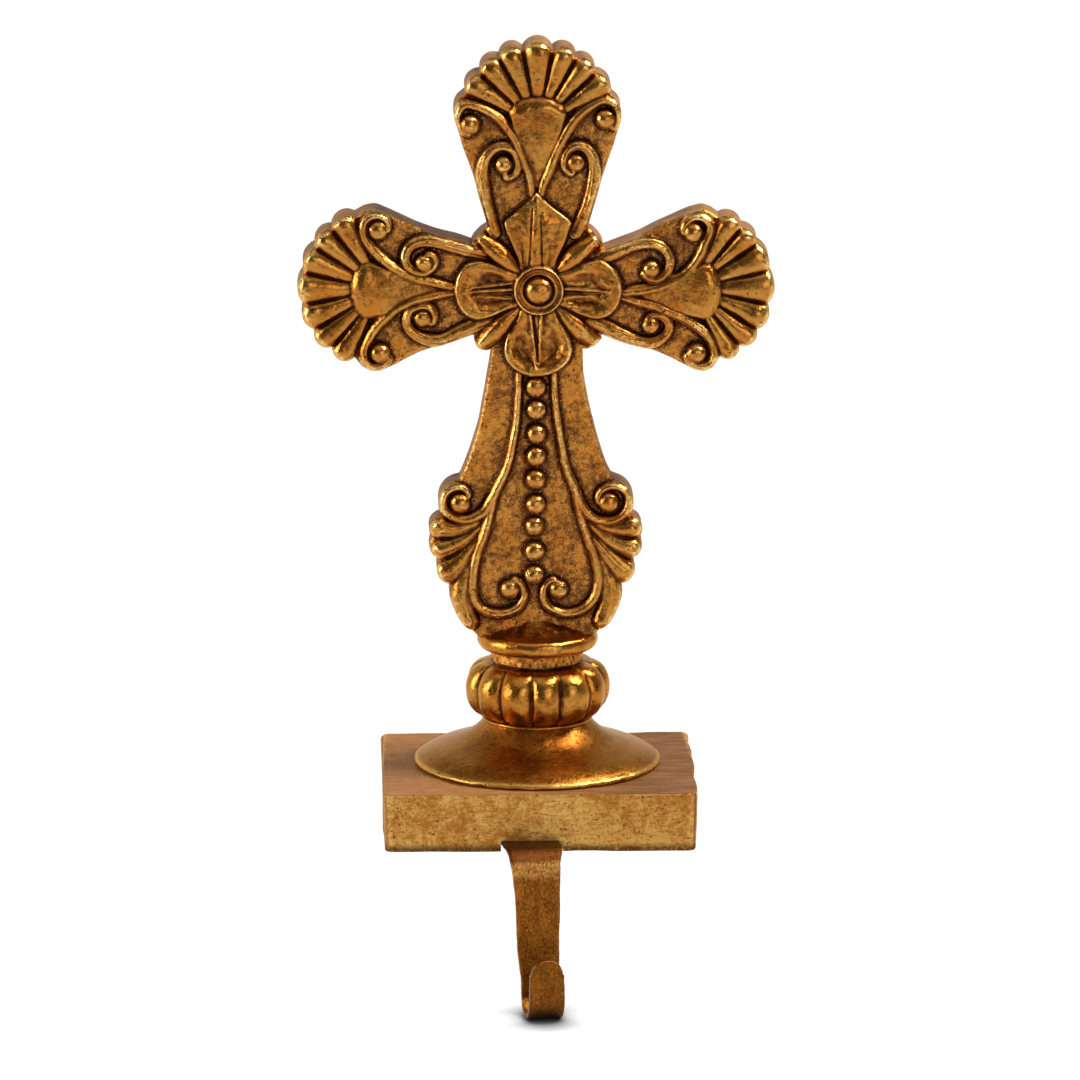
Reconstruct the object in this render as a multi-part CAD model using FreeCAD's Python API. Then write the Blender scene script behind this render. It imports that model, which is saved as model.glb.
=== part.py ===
import FreeCAD
import Part
import math
import os

Vector = FreeCAD.Vector

# A mantel stocking holder: an ornamented cross on a turned foot and a heavy block, cast in one piece,
# with a bent steel hook screwed into a channel under the block.
# Sizes are in millimetres. Up is +Z, the front is towards -Y, and the origin is on the mantel
# surface, under the middle of the block.

# Non-slip pad
PAD_THICKNESS = 1.0
PAD_INSET = 6.0
PAD_CORNER = 4.0
PAD_CLEARANCE = 1.8

# Block
BLOCK_WIDTH = 102.0
BLOCK_DEPTH = 84.0
BLOCK_HEIGHT = 20.0
BLOCK_DRAFT = 0.9
BLOCK_CORNER = 3.0
BLOCK_EDGE = 0.9
BLOCK_CORNER_FACETS = 4
BLOCK_EDGE_FACETS = 2

# Turned foot, neck and collar, each height measured from the top of the piece below
PEDESTAL_Y = 2.0
FOOT_RADIUS = 41.0
FOOT_RIM = 1.3
FOOT_HEIGHT = 14.5
FOOT_CURVE = [(0.979, 0.11), (0.906, 0.22), (0.70, 0.36), (0.338, 0.55), (0.13, 0.77)]
LOWER_NECK_RADIUS = 17.2
NECK_RING = 1.5
KNOP_RADIUS = 24.0
KNOP_HEIGHT = 18.5
KNOP_SWELL = 8.0
KNOP_LEVELS = [-70, -42, -14, 14, 42, 70]
GADROONS = 12
GADROON_FACETS = 4
GADROON_TURN = 8.0
GROOVE_DEPTH = 2.8
UPPER_NECK_RADIUS = 15.4
UPPER_NECK_HEIGHT = 4.8
COLLAR_RADIUS = 20.0
COLLAR_HEIGHT = 5.6
COLLAR_CURVE = [(0.6, 0.04), (1.0, 0.34), (1.0, 0.62), (0.72, 1.0)]
VALLEY_RADIUS = 17.0
VALLEY_DEPTH = 0.9

# Cove that rises from the collar to the cross: half width, half depth and height over the collar
COVE_SIDES = 24
COVE = [(17.6, 17.6, -1.9), (17.0, 8.0, 2.4), (9.0, 6.6, 3.2), (3.0, 6.3, 5.7)]

# Cross slab
SLAB_THICKNESS = 12.0
SLAB_ROOT = 3.6
CROSS_DROP = 120.7
LOWER_AXIS_X = -0.6
ROOT_DEPTH = 0.7
FLAT_ENOUGH = 1e-6
SCALLOP_FACETS = 5
BULGE_FACETS = 5
EDGE_FACETS = 4
CORNER_FACETS = 4

# Fans of lobes at the ends of the three arms
LOBES = 7
LOBE_TIP = 27.9
LOBE_VALLEY = 25.9
LOBE_START = 11.5
LOBE_RADIUS = 4.6
LOBE_INNER_RADIUS = 2.7
LOBE_AXIS_DEPTH = 2.4
LOBE_BEVEL = 0.3
LOBE_LEDGE = 0.5
LOBE_FACETS = 5

# Scrolls
VINE_WIDTH = 2.7
VINE_TIP_WIDTH = 2.2
SIDE_VINE_WIDTH = 4.4
VINE_RISE = 0.4
EYE_RADIUS = 3.1
EYE_SINK = 1.1
SPIRAL_STEP = 31.0
DOME_SIDES = 8
DOME_LEVELS = [40, 68]

# Flower in the middle
PETAL_DISH = 1.5
PETAL_FACETS = 7
VEIN_WIDTH = 1.8
LEAF_RADIUS = 3.6
LEAF_AXIS_DEPTH = 1.6
BOSS_SIDES = 18
BOSS_PROFILE = [(8.3, -ROOT_DEPTH), (8.3, 2.9), (7.4, 3.9), (6.2, 3.0), (4.8, 3.3), (4.3, 4.6), (2.6, 5.8), (0.6, 6.3)]

# Petals: direction, reach, half width, distance of the widest place, half width at the boss, and rise
PETALS = [
    dict(turn=90, tip=32.6, half=11.3, widest=22.5, throat=6.0, rise=2.8),
    dict(turn=0, tip=27.9, half=10.2, widest=19.5, throat=5.0, rise=2.3),
    dict(turn=180, tip=27.7, half=10.4, widest=19.5, throat=5.0, rise=2.4),
    dict(turn=270, tip=29.5, half=11.4, widest=20.0, throat=5.4, rise=2.65),
]

# Four lobes fanning out at each side of the lower arm
SPRAY_CENTRE = (17.0, -76.0)
SPRAY_REACHES = [17.6, 20.2, 24.0, 27.6]
SPRAY_FIRST = -15.0
SPRAY_STEP = 17.5
SPRAY_RADIUS = 3.8
SPRAY_AXIS_DEPTH = 1.9

# Row of beads down the lower arm
BEADS = 9
BEAD_RADIUS = 3.5
BEAD_SINK = 0.9
BEAD_PITCH = 7.96
FIRST_BEAD = -33.0

# Hook, a tapered strip of steel
HOOK_THICKNESS = 1.8
HOOK_SKEW = 8.5
HOOK_X = -2.65
HOOK_WIDTH = 17.9
SHANK_WIDTH = 14.4
SADDLE_WIDTH = 12.6
TIP_WIDTH = 10.6
TONGUE_LENGTH = 30.0
HOOK_REACH = 14.0
HOOK_BEND = 7.2
HOOK_DROP = 54.7
SADDLE_RADIUS = 6.7
TIP_RISE = 21.7
CHANNEL_DEPTH = 3.7
CHANNEL_CLEARANCE = 1.25
CHANNEL_END = 2.0
CHANNEL_CORNER = 3.0

# Screws that hold the hook
SCREW_DIAMETER = 3.5
SCREW_CLEARANCE = 0.2
SCREW_LENGTH = 11.0
SCREW_END_GAP = 0.5
SCREW_HEAD_DIAMETER = 7.0
SCREW_HEAD_HEIGHT = 1.4
SCREW_FIRST = 9.0
SCREW_PITCH = 13.0
SLOT_WIDTH = 1.0
SLOT_DEPTH = 0.7

# Heights that follow from the sizes above
block_top = PAD_THICKNESS + BLOCK_HEIGHT
foot_top = block_top + FOOT_HEIGHT
knop_base = foot_top + NECK_RING
knop_top = knop_base + KNOP_HEIGHT
collar_base = knop_top + UPPER_NECK_HEIGHT
collar_top = collar_base + COLLAR_HEIGHT
cross_z = collar_top - SLAB_ROOT + CROSS_DROP
face_y = PEDESTAL_Y - SLAB_THICKNESS / 2

# The three upper arms. Lengths run from the middle of the cross along the arm, and from its axis across it.
# The middle lobe of each fan has its own reach.
ARMS = [
    dict(turn=90, fan=54.5, lobe=18.0, centre_lobe=20.4, reach=28.7, sway=0.2, root=(-33.4, 16.6),
         edge=(-18.0, 20.4), eye=11.6, point=-20.6),
    dict(turn=0, fan=50.5, lobe=19.2, centre_lobe=22.0, reach=27.9, sway=-1.6, root=(-30.1, 14.8),
         edge=(-16.0, 19.6), eye=9.2, point=-22.0),
    dict(turn=180, fan=51.5, lobe=19.2, centre_lobe=22.0, reach=27.9, sway=0.4, root=(-31.1, 14.8),
         edge=(-16.0, 19.4), eye=9.2, point=-23.2),
]
CORNER_TIPS = [(19.9, 18.3), (19.5, -19.2), (-19.6, -19.6), (-19.9, 18.0)]


def at_angle(distance, degrees, centre=(0, 0)):
    """The point at a distance and a direction from a centre."""
    angle = math.radians(degrees)
    return (centre[0] + distance * math.cos(angle), centre[1] + distance * math.sin(angle))


def flat(point, height=0.0):
    """A point of the cross face as a vector, with the height above the face."""
    return Vector(point[0], point[1], height)


def arc(first, middle, last, facets):
    """A circular arc through three points of the cross face, cut in facets."""
    curve = Part.Arc(flat(first), flat(middle), flat(last))
    points = curve.discretize(facets + 1)
    return [line(a, b) for a, b in zip(points, points[1:])]


def smooth(points, facets):
    """Evenly spaced points along a smooth curve through the given ones."""
    curve = Part.BSplineCurve()
    curve.interpolate([flat(point) for point in points])
    return [(point.x, point.y) for point in curve.discretize(facets + 1)]


def line(first, last):
    """A straight edge between two points of the cross face."""
    return Part.LineSegment(flat(first), flat(last)).toShape()


def placed(shape, arm):
    """A motif drawn about the centre of a fan, set on its arm."""
    moved = shape.copy()
    moved.translate(Vector(arm["fan"], 0, 0))
    moved.rotate(Vector(), Vector(0, 0, 1), arm["turn"])
    return moved


def on_arm(arm, along, across):
    """A point given from the centre of an arm's fan, as a point of the cross face."""
    distance = arm["fan"] + along
    turn = math.radians(arm["turn"])
    return (distance * math.cos(turn) - across * math.sin(turn),
            distance * math.sin(turn) + across * math.cos(turn))


def lobe_edges(arm):
    """The directions of the valleys between the lobes of a fan, from one side to the other."""
    half = [arm["centre_lobe"] / 2 + arm["lobe"] * step for step in range(LOBES // 2 + 1)]
    return half[::-1] + [-angle for angle in half]


def lobe_tips(arm):
    """The direction and the reach of each lobe of a fan, from one side to the other."""
    edges = lobe_edges(arm)
    reaches = [LOBE_TIP] * LOBES
    reaches[LOBES // 2] = arm["reach"]
    return [((a + b) / 2, reach) for a, b, reach in zip(edges, edges[1:], reaches)]


def arm_outline(arm):
    """The edges round an arm, from its root on one side to its root on the other."""
    def point(along, across):
        return on_arm(arm, along, across)

    root, edge, sway = arm["root"], arm["edge"], arm["sway"]
    shoulder, bulge = (-4.0, 24.2), (3.5, 27.2)
    valleys = [point(*at_angle(LOBE_VALLEY, angle)) for angle in lobe_edges(arm)]
    tips = [point(*at_angle(reach, angle)) for angle, reach in lobe_tips(arm)]
    near = point(shoulder[0], shoulder[1] + sway)
    far = point(shoulder[0], sway - shoulder[1])
    outline = arc(point(*root), point(*edge), near, EDGE_FACETS)
    outline += arc(near, point(bulge[0], bulge[1] + sway), valleys[0], BULGE_FACETS)
    for a, tip, b in zip(valleys, tips, valleys[1:]):
        outline += arc(a, tip, b, SCALLOP_FACETS)
    outline += arc(valleys[-1], point(bulge[0], sway - bulge[1]), far, BULGE_FACETS)
    outline += arc(far, point(edge[0], -edge[1]), point(root[0], -root[1]), EDGE_FACETS)
    return outline


# Outline of the lower arm on its right side, measured from the lower axis
LOWER_ROOT = (15.4, -21.0)
LOWER_WAIST = [LOWER_ROOT, (17.2, -38.0), (19.5, -48.0), (23.6, -61.0), (25.4, -64.6)]
LOWER_BULGE = (31.6, -70.3)
LOWER_VALLEYS = [(30.6, -77.0), (33.6, -84.4), (31.2, -91.2), (27.9, -100.0)]
LOWER_TIPS = [(34.9, -80.7), (34.7, -88.0), (32.4, -95.6)]
LOWER_LAST_LOBE = (27.2, -107.0)
LOWER_END = (20.4, -115.6)
LOWER_FOOT = (16.5, -CROSS_DROP)


def lower_side(side):
    """The edges down one side of the lower arm, side being 1 or -1, drawn from top to bottom."""
    def point(place):
        return (LOWER_AXIS_X + side * place[0], place[1])

    waist = smooth([point(place) for place in LOWER_WAIST], 2 * EDGE_FACETS)
    edges = [line(a, b) for a, b in zip(waist, waist[1:])]
    edges += arc(point(LOWER_WAIST[-1]), point(LOWER_BULGE), point(LOWER_VALLEYS[0]), BULGE_FACETS)
    for a, tip, b in zip(LOWER_VALLEYS, LOWER_TIPS, LOWER_VALLEYS[1:]):
        edges += arc(point(a), point(tip), point(b), SCALLOP_FACETS)
    edges += arc(point(LOWER_VALLEYS[-1]), point(LOWER_LAST_LOBE), point(LOWER_END), EDGE_FACETS)
    edges.append(line(point(LOWER_END), point(LOWER_FOOT)))
    return edges


def make_slab():
    """The plain cross with its scalloped outline, face at height 0."""
    top, right, left = ARMS
    roots = []
    for arm in ARMS:
        along, across = arm["root"]
        roots.append((on_arm(arm, along, across), on_arm(arm, along, -across)))
    top_roots, right_roots, left_roots = roots
    low_right = (LOWER_AXIS_X + LOWER_ROOT[0], LOWER_ROOT[1])
    low_left = (LOWER_AXIS_X - LOWER_ROOT[0], LOWER_ROOT[1])
    end_right = (LOWER_AXIS_X + LOWER_FOOT[0], LOWER_FOOT[1])
    end_left = (LOWER_AXIS_X - LOWER_FOOT[0], LOWER_FOOT[1])
    tips = CORNER_TIPS
    edges = arm_outline(top) + arm_outline(right) + arm_outline(left) + lower_side(1) + lower_side(-1)
    edges += arc(top_roots[1], tips[0], right_roots[0], CORNER_FACETS)
    edges += arc(right_roots[1], tips[1], low_right, CORNER_FACETS)
    edges += arc(low_left, tips[2], left_roots[0], CORNER_FACETS)
    edges += arc(left_roots[1], tips[3], top_roots[0], CORNER_FACETS)
    edges.append(line(end_right, end_left))
    outline = Part.Wire(Part.sortEdges(edges)[0])
    return Part.Face(outline).extrude(Vector(0, 0, -SLAB_THICKNESS))


def polygon(points):
    """A closed wire of straight edges."""
    return Part.makePolygon(points + points[:1])


def facet(points):
    """Flat faces over three or four points: one if they lie in a plane, or else two triangles."""
    a, b, c, d = points
    if abs((b - a).cross(c - a).dot(d - a)) < FLAT_ENOUGH:
        return [Part.Face(polygon(points))]
    return [Part.Face(polygon([a, b, c])), Part.Face(polygon([a, c, d]))]


def skin(rings, apex=None):
    """A solid with flat facets between rings of points, closed at both ends or drawn up to an apex."""
    faces = [Part.Face(polygon(rings[0]))]
    for low, high in zip(rings, rings[1:]):
        for number in range(len(low)):
            after = (number + 1) % len(low)
            faces += facet([low[number], low[after], high[after], high[number]])
    last = rings[-1]
    if apex is None:
        faces.append(Part.Face(polygon(last)))
    else:
        faces += [Part.Face(polygon([a, b, apex])) for a, b in zip(last, last[1:] + last[:1])]
    shell = Part.makeShell(faces)
    shell.sewShape()
    solid = Part.makeSolid(shell)
    return solid if solid.Volume > 0 else solid.reversed()


def arch(distance, radius, axis_depth):
    """The section of a lobe, square to X: a faceted arc over an axis that lies below the face."""
    foot = math.acos((axis_depth - ROOT_DEPTH) / radius)
    points = []
    for facet in range(LOBE_FACETS + 1):
        angle = foot * (2 * facet / LOBE_FACETS - 1)
        points.append(Vector(distance, radius * math.sin(angle), radius * math.cos(angle) - axis_depth))
    return points


def lobe(start, tip, inner_radius, outer_radius, axis_depth):
    """A rounded ridge along +X that widens outwards, with its end bevelled."""
    bevel = outer_radius * LOBE_BEVEL
    return skin([arch(start, inner_radius, axis_depth), arch(tip - bevel, outer_radius, axis_depth),
                 arch(tip, outer_radius - bevel, axis_depth)])


def vine_section(place, heading, width, base):
    """The upright section of a vine: a low crest with sloping sides, rooted below its base."""
    rise = width * VINE_RISE
    profile = [(0.5, -ROOT_DEPTH), (0.22, rise), (-0.22, rise), (-0.5, -ROOT_DEPTH)]
    side = heading + math.pi / 2
    return [Vector(place[0] + width * across * math.cos(side), place[1] + width * across * math.sin(side),
                   base + height) for across, height in profile]


def vine(points, start_width, end_width, base=0.0):
    """A tapered vine, a ruled skin through upright sections across its path."""
    last = len(points) - 1
    sections = []
    for number, place in enumerate(points):
        before, after = points[max(number - 1, 0)], points[min(number + 1, last)]
        heading = math.atan2(after[1] - before[1], after[0] - before[0])
        width = start_width + (end_width - start_width) * number / last
        sections.append(vine_section(place, heading, width, base))
    return skin(sections)


def spiral(eye, start_angle, end_angle, start_radius, end_radius):
    """Points that wind in towards an eye, one for about each SPIRAL_STEP of turn."""
    count = round(abs(end_angle - start_angle) / SPIRAL_STEP)
    points = []
    for step in range(count + 1):
        share = step / count
        angle = start_angle + (end_angle - start_angle) * share
        radius = start_radius + (end_radius - start_radius) * share
        points.append(at_angle(radius, angle, eye))
    return points


def dome(centre, radius, sink):
    """A bead on the face: the cap of a faceted ball whose middle lies below the face."""
    levels = [-math.degrees(math.asin(min((ROOT_DEPTH - sink) / radius, 1.0)))] + DOME_LEVELS
    rings = []
    for level in levels:
        ring_radius = radius * math.cos(math.radians(level))
        height = radius * math.sin(math.radians(level)) - sink
        rings.append([flat(at_angle(ring_radius, 360 / DOME_SIDES * side, centre), height)
                      for side in range(DOME_SIDES)])
    return skin(rings, flat(centre, radius - sink))


def mirrored(shape, axis):
    """The same motif on the other side of a line through the origin, given by what it is square to."""
    return shape.mirror(Vector(), axis)


def tilted(outline, share, centre, height, slope):
    """An outline shrunk about a point of the axis, on a plane that rises along X."""
    points = []
    for along, across in outline:
        x = centre + (along - centre) * share
        points.append(Vector(x, across * share, height + slope * x))
    return points


def shield(point):
    """The smooth shield in the middle of a fan, pointed at its root and highest at its round rim."""
    half = [(-10.0, 4.2), (-2.0, 8.0), (4.6, 10.5), (7.6, 8.6), (9.4, 4.8), (10.1, 0.0)]
    outline = [(point, 0.0)] + half + [(along, -across) for along, across in half[-2::-1]]
    root = [flat(place, -ROOT_DEPTH) for place in outline]
    return skin([root, tilted(outline, 1.0, 0, 1.6, 0.05), tilted(outline, 0.86, 3, 2.35, 0.065),
                 tilted(outline, 0.5, 4, 2.8, 0.065)])


def fan(arm):
    """All the carving of one arm, set on the arm."""
    pieces = []
    for angle, reach in lobe_tips(arm):
        ridge = lobe(LOBE_START, reach - LOBE_LEDGE, LOBE_INNER_RADIUS, LOBE_RADIUS, LOBE_AXIS_DEPTH)
        ridge.rotate(Vector(), Vector(0, 0, 1), angle)
        pieces.append(ridge)
    sway = Vector(0, arm["sway"], 0)
    body = shield(arm["point"])
    body.translate(sway)
    pieces.append(body)
    outer_eye = (1.6, 21.8)
    inner_eye = (-12.8, arm["eye"])
    stem = [(arm["point"], 1.6), (-10.3, 4.9), (-4.9, 7.1), (-0.6, 9.8), (2.6, 12.7)]
    stem += spiral(outer_eye, -52, 165, 6.6, 3.9)
    root_along, root_across = arm["root"]
    side = [(root_along + 1.0, root_across - 2.8), (-24.0, arm["eye"] + 5.5), (-18.0, arm["eye"] + 6.6)]
    side += spiral(inner_eye, 88, -160, 6.5, 4.3)
    half = [vine(stem, VINE_WIDTH, VINE_TIP_WIDTH), dome(outer_eye, EYE_RADIUS, EYE_SINK),
            vine(side, SIDE_VINE_WIDTH, VINE_TIP_WIDTH), dome(inner_eye, EYE_RADIUS, EYE_SINK)]
    for piece in half:
        for copy in (piece, mirrored(piece, Vector(0, 1, 0))):
            copy.translate(sway)
            pieces.append(copy)
    return [placed(piece, arm) for piece in pieces]


def lower_carving():
    """Vines, side lobes and beads of the lower arm."""
    eye = (24.3, -72.2)
    inner_eye = (8.5, -101.8)
    stem = [(5.7, -26.0), (6.2, -38.0), (7.2, -47.5), (9.0, -57.0), (11.8, -65.0), (14.0, -71.0), (14.6, -76.0)]
    outer = [(13.6, -72.4), (15.4, -75.6)] + spiral(eye, -138, 135, 7.6, 4.2)
    inner = [(14.0, -73.0), (15.2, -79.5), (17.9, -86.0), (20.2, -93.5)] + spiral(inner_eye, 5, -240, 12.4, 4.2)
    half = [vine(stem, VINE_WIDTH, VINE_TIP_WIDTH), vine(outer, VINE_WIDTH, VINE_TIP_WIDTH),
            vine(inner, VINE_WIDTH, VINE_TIP_WIDTH), dome(eye, EYE_RADIUS, EYE_SINK),
            dome(inner_eye, EYE_RADIUS, EYE_SINK)]
    for number, reach in enumerate(SPRAY_REACHES):
        ridge = lobe(3.0, reach, 1.6, SPRAY_RADIUS, SPRAY_AXIS_DEPTH)
        ridge.rotate(Vector(), Vector(0, 0, 1), SPRAY_FIRST - SPRAY_STEP * number)
        ridge.translate(flat(SPRAY_CENTRE))
        half.append(ridge)
    pieces = []
    for piece in half:
        pieces += [piece, mirrored(piece, Vector(1, 0, 0))]
    for number in range(BEADS):
        pieces.append(dome((0, FIRST_BEAD - BEAD_PITCH * number), BEAD_RADIUS, BEAD_SINK))
    for piece in pieces:
        piece.translate(Vector(LOWER_AXIS_X, 0, 0))
    return pieces


def petal(tip, half, widest, throat, rise):
    """A petal along +X with a raised rim, a sunk middle and a vein."""
    start = 4.0
    side = smooth([(start, throat), (widest - 8.0, half - 1.6), (widest, half), ((tip + widest) / 2, half * 0.68),
                   (tip, 0.0)], PETAL_FACETS)
    outline = side + [(along, -across) for along, across in side[-2::-1]]
    middle = widest - 2.0
    floor = rise - PETAL_DISH
    body = skin([[flat(place, height) for place in outline] for height in (-ROOT_DEPTH, rise)])
    dish = skin([tilted(outline, 0.5, middle, floor, 0), tilted(outline, 0.9, middle, rise + 0.1, 0)])
    vein = vine([(start, 0), (middle, 0), (tip - 3.5, 0)], VEIN_WIDTH, VEIN_WIDTH / 2, floor)
    return body.cut(dish).fuse(vein)


def boss():
    """The ringed boss of the flower, a faceted turning on the face."""
    rings = []
    for radius, height in BOSS_PROFILE:
        rings.append([flat(at_angle(radius, 360 / BOSS_SIDES * side), height) for side in range(BOSS_SIDES)])
    return skin(rings)


def flower():
    """The four petals, four small leaves between them, and the ringed boss."""
    pieces = [boss()]
    for shape in PETALS:
        leaf = petal(shape["tip"], shape["half"], shape["widest"], shape["throat"], shape["rise"])
        leaf.rotate(Vector(), Vector(0, 0, 1), shape["turn"])
        pieces.append(leaf)
    for place in CORNER_TIPS:
        leaf = lobe(8.0, math.hypot(*place) - LOBE_LEDGE, 1.8, LEAF_RADIUS, LEAF_AXIS_DEPTH)
        leaf.rotate(Vector(), Vector(0, 0, 1), math.degrees(math.atan2(place[1], place[0])))
        pieces.append(leaf)
    return pieces


def make_cross():
    """The carved cross, stood up in its place."""
    carving = flower() + lower_carving()
    for arm in ARMS:
        carving += fan(arm)
    cross = make_slab().fuse(carving)
    cross.rotate(Vector(), Vector(1, 0, 0), 90)
    cross.translate(Vector(0, face_y, cross_z))
    return cross


def knop_ring(level):
    """The scalloped section of the knop at an angle of its round side profile."""
    slope = math.cos(math.radians(level))
    height = (knop_base + knop_top) / 2 + KNOP_HEIGHT / 2 * math.sin(math.radians(level))
    crest = KNOP_RADIUS - KNOP_SWELL * (1 - slope)
    points = []
    for facet in range(GADROONS * GADROON_FACETS):
        angle = 360 / (GADROONS * GADROON_FACETS) * facet
        off_crest = 2 * (facet % GADROON_FACETS) / GADROON_FACETS - 1
        radius = crest - GROOVE_DEPTH * slope * off_crest ** 2
        x, y = at_angle(radius, angle + GADROON_TURN)
        points.append(Vector(x, y, height))
    return points


def turned_profile():
    """Radius and height of the foot, necks and collar, from the block up."""
    neck = LOWER_NECK_RADIUS
    points = [(FOOT_RADIUS, block_top - 1.0), (FOOT_RADIUS, block_top + FOOT_RIM)]
    points += [(neck + (FOOT_RADIUS - neck) * out, block_top + FOOT_HEIGHT * up) for out, up in FOOT_CURVE]
    points += [(neck, foot_top), (neck + NECK_RING / 2, foot_top + NECK_RING / 2), (neck, knop_base)]
    points += [(UPPER_NECK_RADIUS, knop_base + 1.0), (UPPER_NECK_RADIUS, collar_base)]
    points += [(UPPER_NECK_RADIUS + (COLLAR_RADIUS - UPPER_NECK_RADIUS) * out, collar_base + COLLAR_HEIGHT * up)
               for out, up in COLLAR_CURVE]
    points.append((VALLEY_RADIUS, collar_top - VALLEY_DEPTH))
    return points


def make_cove():
    """The cove between the collar's rim and the foot of the cross, from a round to a narrow oval."""
    rings = []
    for half_width, half_depth, height in COVE:
        ring = [at_angle(1.0, 360 / COVE_SIDES * side) for side in range(COVE_SIDES)]
        rings.append([Vector(half_width * x, half_depth * y, collar_top + height) for x, y in ring])
    return skin(rings)


def make_pedestal():
    """The turned foot, necks and collar, with the gadrooned knop round them and the cove on top."""
    profile = turned_profile()
    on_axis = [(0, profile[-1][1]), (0, profile[0][1])]
    section = polygon([Vector(radius, 0, height) for radius, height in profile + on_axis])
    turned = Part.Face(section).revolve(Vector(), Vector(0, 0, 1), 360)
    knop = skin([knop_ring(level) for level in KNOP_LEVELS])
    turned = turned.fuse([knop, make_cove()])
    turned.translate(Vector(0, PEDESTAL_Y, 0))
    return turned


def rounded_rectangle(width, depth, radius, height):
    """The points of a level rectangle with round corners, centred on the Z axis."""
    points = []
    for turn, x, y in ((0, 1, 1), (90, -1, 1), (180, -1, -1), (270, 1, -1)):
        centre = (x * (width / 2 - radius), y * (depth / 2 - radius))
        for step in range(BLOCK_CORNER_FACETS + 1):
            points.append(flat(at_angle(radius, turn + 90 / BLOCK_CORNER_FACETS * step, centre), height))
    return points


def make_block():
    """The weighted block, a little narrower at its underside, with eased edges."""
    rings = []
    for level in (0, 1):
        for step in range(BLOCK_EDGE_FACETS + 1):
            angle = math.radians(90 / BLOCK_EDGE_FACETS * step)
            if level == 0:
                inset, height = BLOCK_EDGE * (1 - math.sin(angle)), BLOCK_EDGE * (1 - math.cos(angle))
            else:
                inset = BLOCK_EDGE * (1 - math.cos(angle))
                height = BLOCK_HEIGHT - BLOCK_EDGE * (1 - math.sin(angle))
            inset += BLOCK_DRAFT * (1 - height / BLOCK_HEIGHT)
            rings.append(rounded_rectangle(BLOCK_WIDTH - 2 * inset, BLOCK_DEPTH - 2 * inset, BLOCK_CORNER - inset / 2,
                                           PAD_THICKNESS + height))
    return skin(rings)


def hook_placed(shape):
    """A hook shape drawn straight, turned to its skew and set at the front of the block."""
    shape.rotate(Vector(), Vector(0, 0, 1), HOOK_SKEW)
    shape.translate(Vector(HOOK_X, -BLOCK_DEPTH / 2 + BLOCK_DRAFT, 0))
    return shape


def screw_places():
    """How far behind the front of the block each screw stands."""
    return [SCREW_FIRST, SCREW_FIRST + SCREW_PITCH]


def groove(clearance, height):
    """The space round the hook's tongue up to a height above the mantel, open at the front of the block."""
    width = HOOK_WIDTH + 2 * clearance
    length = TONGUE_LENGTH + CHANNEL_END + clearance - CHANNEL_CLEARANCE
    space = Part.makeBox(width, length + HOOK_REACH, height + PAD_THICKNESS,
                         Vector(-width / 2, -HOOK_REACH, -PAD_THICKNESS))
    ends = [edge for edge in space.Edges if edge.BoundBox.ZLength > PAD_THICKNESS and edge.BoundBox.YMin > 0]
    return space.makeFillet(CHANNEL_CORNER, ends)


def make_channel():
    """The groove under the block that takes the hook's tongue, with the pilot holes of its screws."""
    roof = PAD_THICKNESS + CHANNEL_DEPTH
    radius = SCREW_DIAMETER / 2 + SCREW_CLEARANCE / 2
    tools = [Part.makeCylinder(radius, SCREW_LENGTH, Vector(0, place, roof - 1.0)) for place in screw_places()]
    return hook_placed(groove(CHANNEL_CLEARANCE, roof).fuse(tools))


def make_hook():
    """The strip: a tongue in the channel, a bend down over the mantel edge, a shank and an upturned end."""
    thick = HOOK_THICKNESS
    roof = PAD_THICKNESS + CHANNEL_DEPTH
    under = roof - thick
    bottom = roof - HOOK_DROP
    inner, outer = HOOK_BEND, HOOK_BEND + thick
    front = -HOOK_REACH
    saddle = SADDLE_RADIUS
    saddle_z = bottom + thick + saddle
    saddle_y = front - saddle
    tip_z = bottom + TIP_RISE
    path = side_view(under, roof, front, inner, outer, saddle_y, saddle_z, saddle, thick, tip_z)
    strip = Part.Face(path).extrude(Vector(HOOK_WIDTH, 0, 0))
    strip.translate(Vector(-HOOK_WIDTH / 2, 0, 0))
    strip = strip.common(hook_blank(under, bottom, tip_z, saddle_y))
    radius = (SCREW_DIAMETER + SCREW_CLEARANCE) / 2
    for place in screw_places():
        strip = strip.cut(Part.makeCylinder(radius, 2 * thick, Vector(0, place, under - thick / 2)))
    return hook_placed(strip)


def side_view(under, roof, front, inner, outer, saddle_y, saddle_z, saddle, thick, tip_z):
    """The closed outline of the bent strip, seen from the side."""
    def at(y, z):
        return Vector(0, y, z)

    def bend(centre, radius, middle, first, last):
        mid = at(centre[0] + radius * math.cos(math.radians(middle)), centre[1] + radius * math.sin(math.radians(middle)))
        return Part.Arc(first, mid, last).toShape()

    def straight(first, last):
        return Part.LineSegment(first, last).toShape()

    knee = (front + outer, roof - outer)
    bowl = (saddle_y, saddle_z)
    a, b = at(TONGUE_LENGTH, roof), at(knee[0], roof)
    c, d = at(front, knee[1]), at(front, saddle_z)
    e, f = at(saddle_y - saddle, saddle_z), at(saddle_y - saddle, tip_z)
    g, h = at(saddle_y - saddle - thick, tip_z), at(saddle_y - saddle - thick, saddle_z)
    i, j = at(front + thick, saddle_z), at(front + thick, knee[1])
    k, m = at(knee[0], under), at(TONGUE_LENGTH, under)
    return Part.Wire([
        straight(a, b), bend(knee, outer, 135, b, c), straight(c, d), bend(bowl, saddle, 270, d, e),
        straight(e, f), straight(f, g), straight(g, h), bend(bowl, saddle + thick, 270, h, i),
        straight(i, j), bend(knee, inner, 135, j, k), straight(k, m), straight(m, a)])


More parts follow.
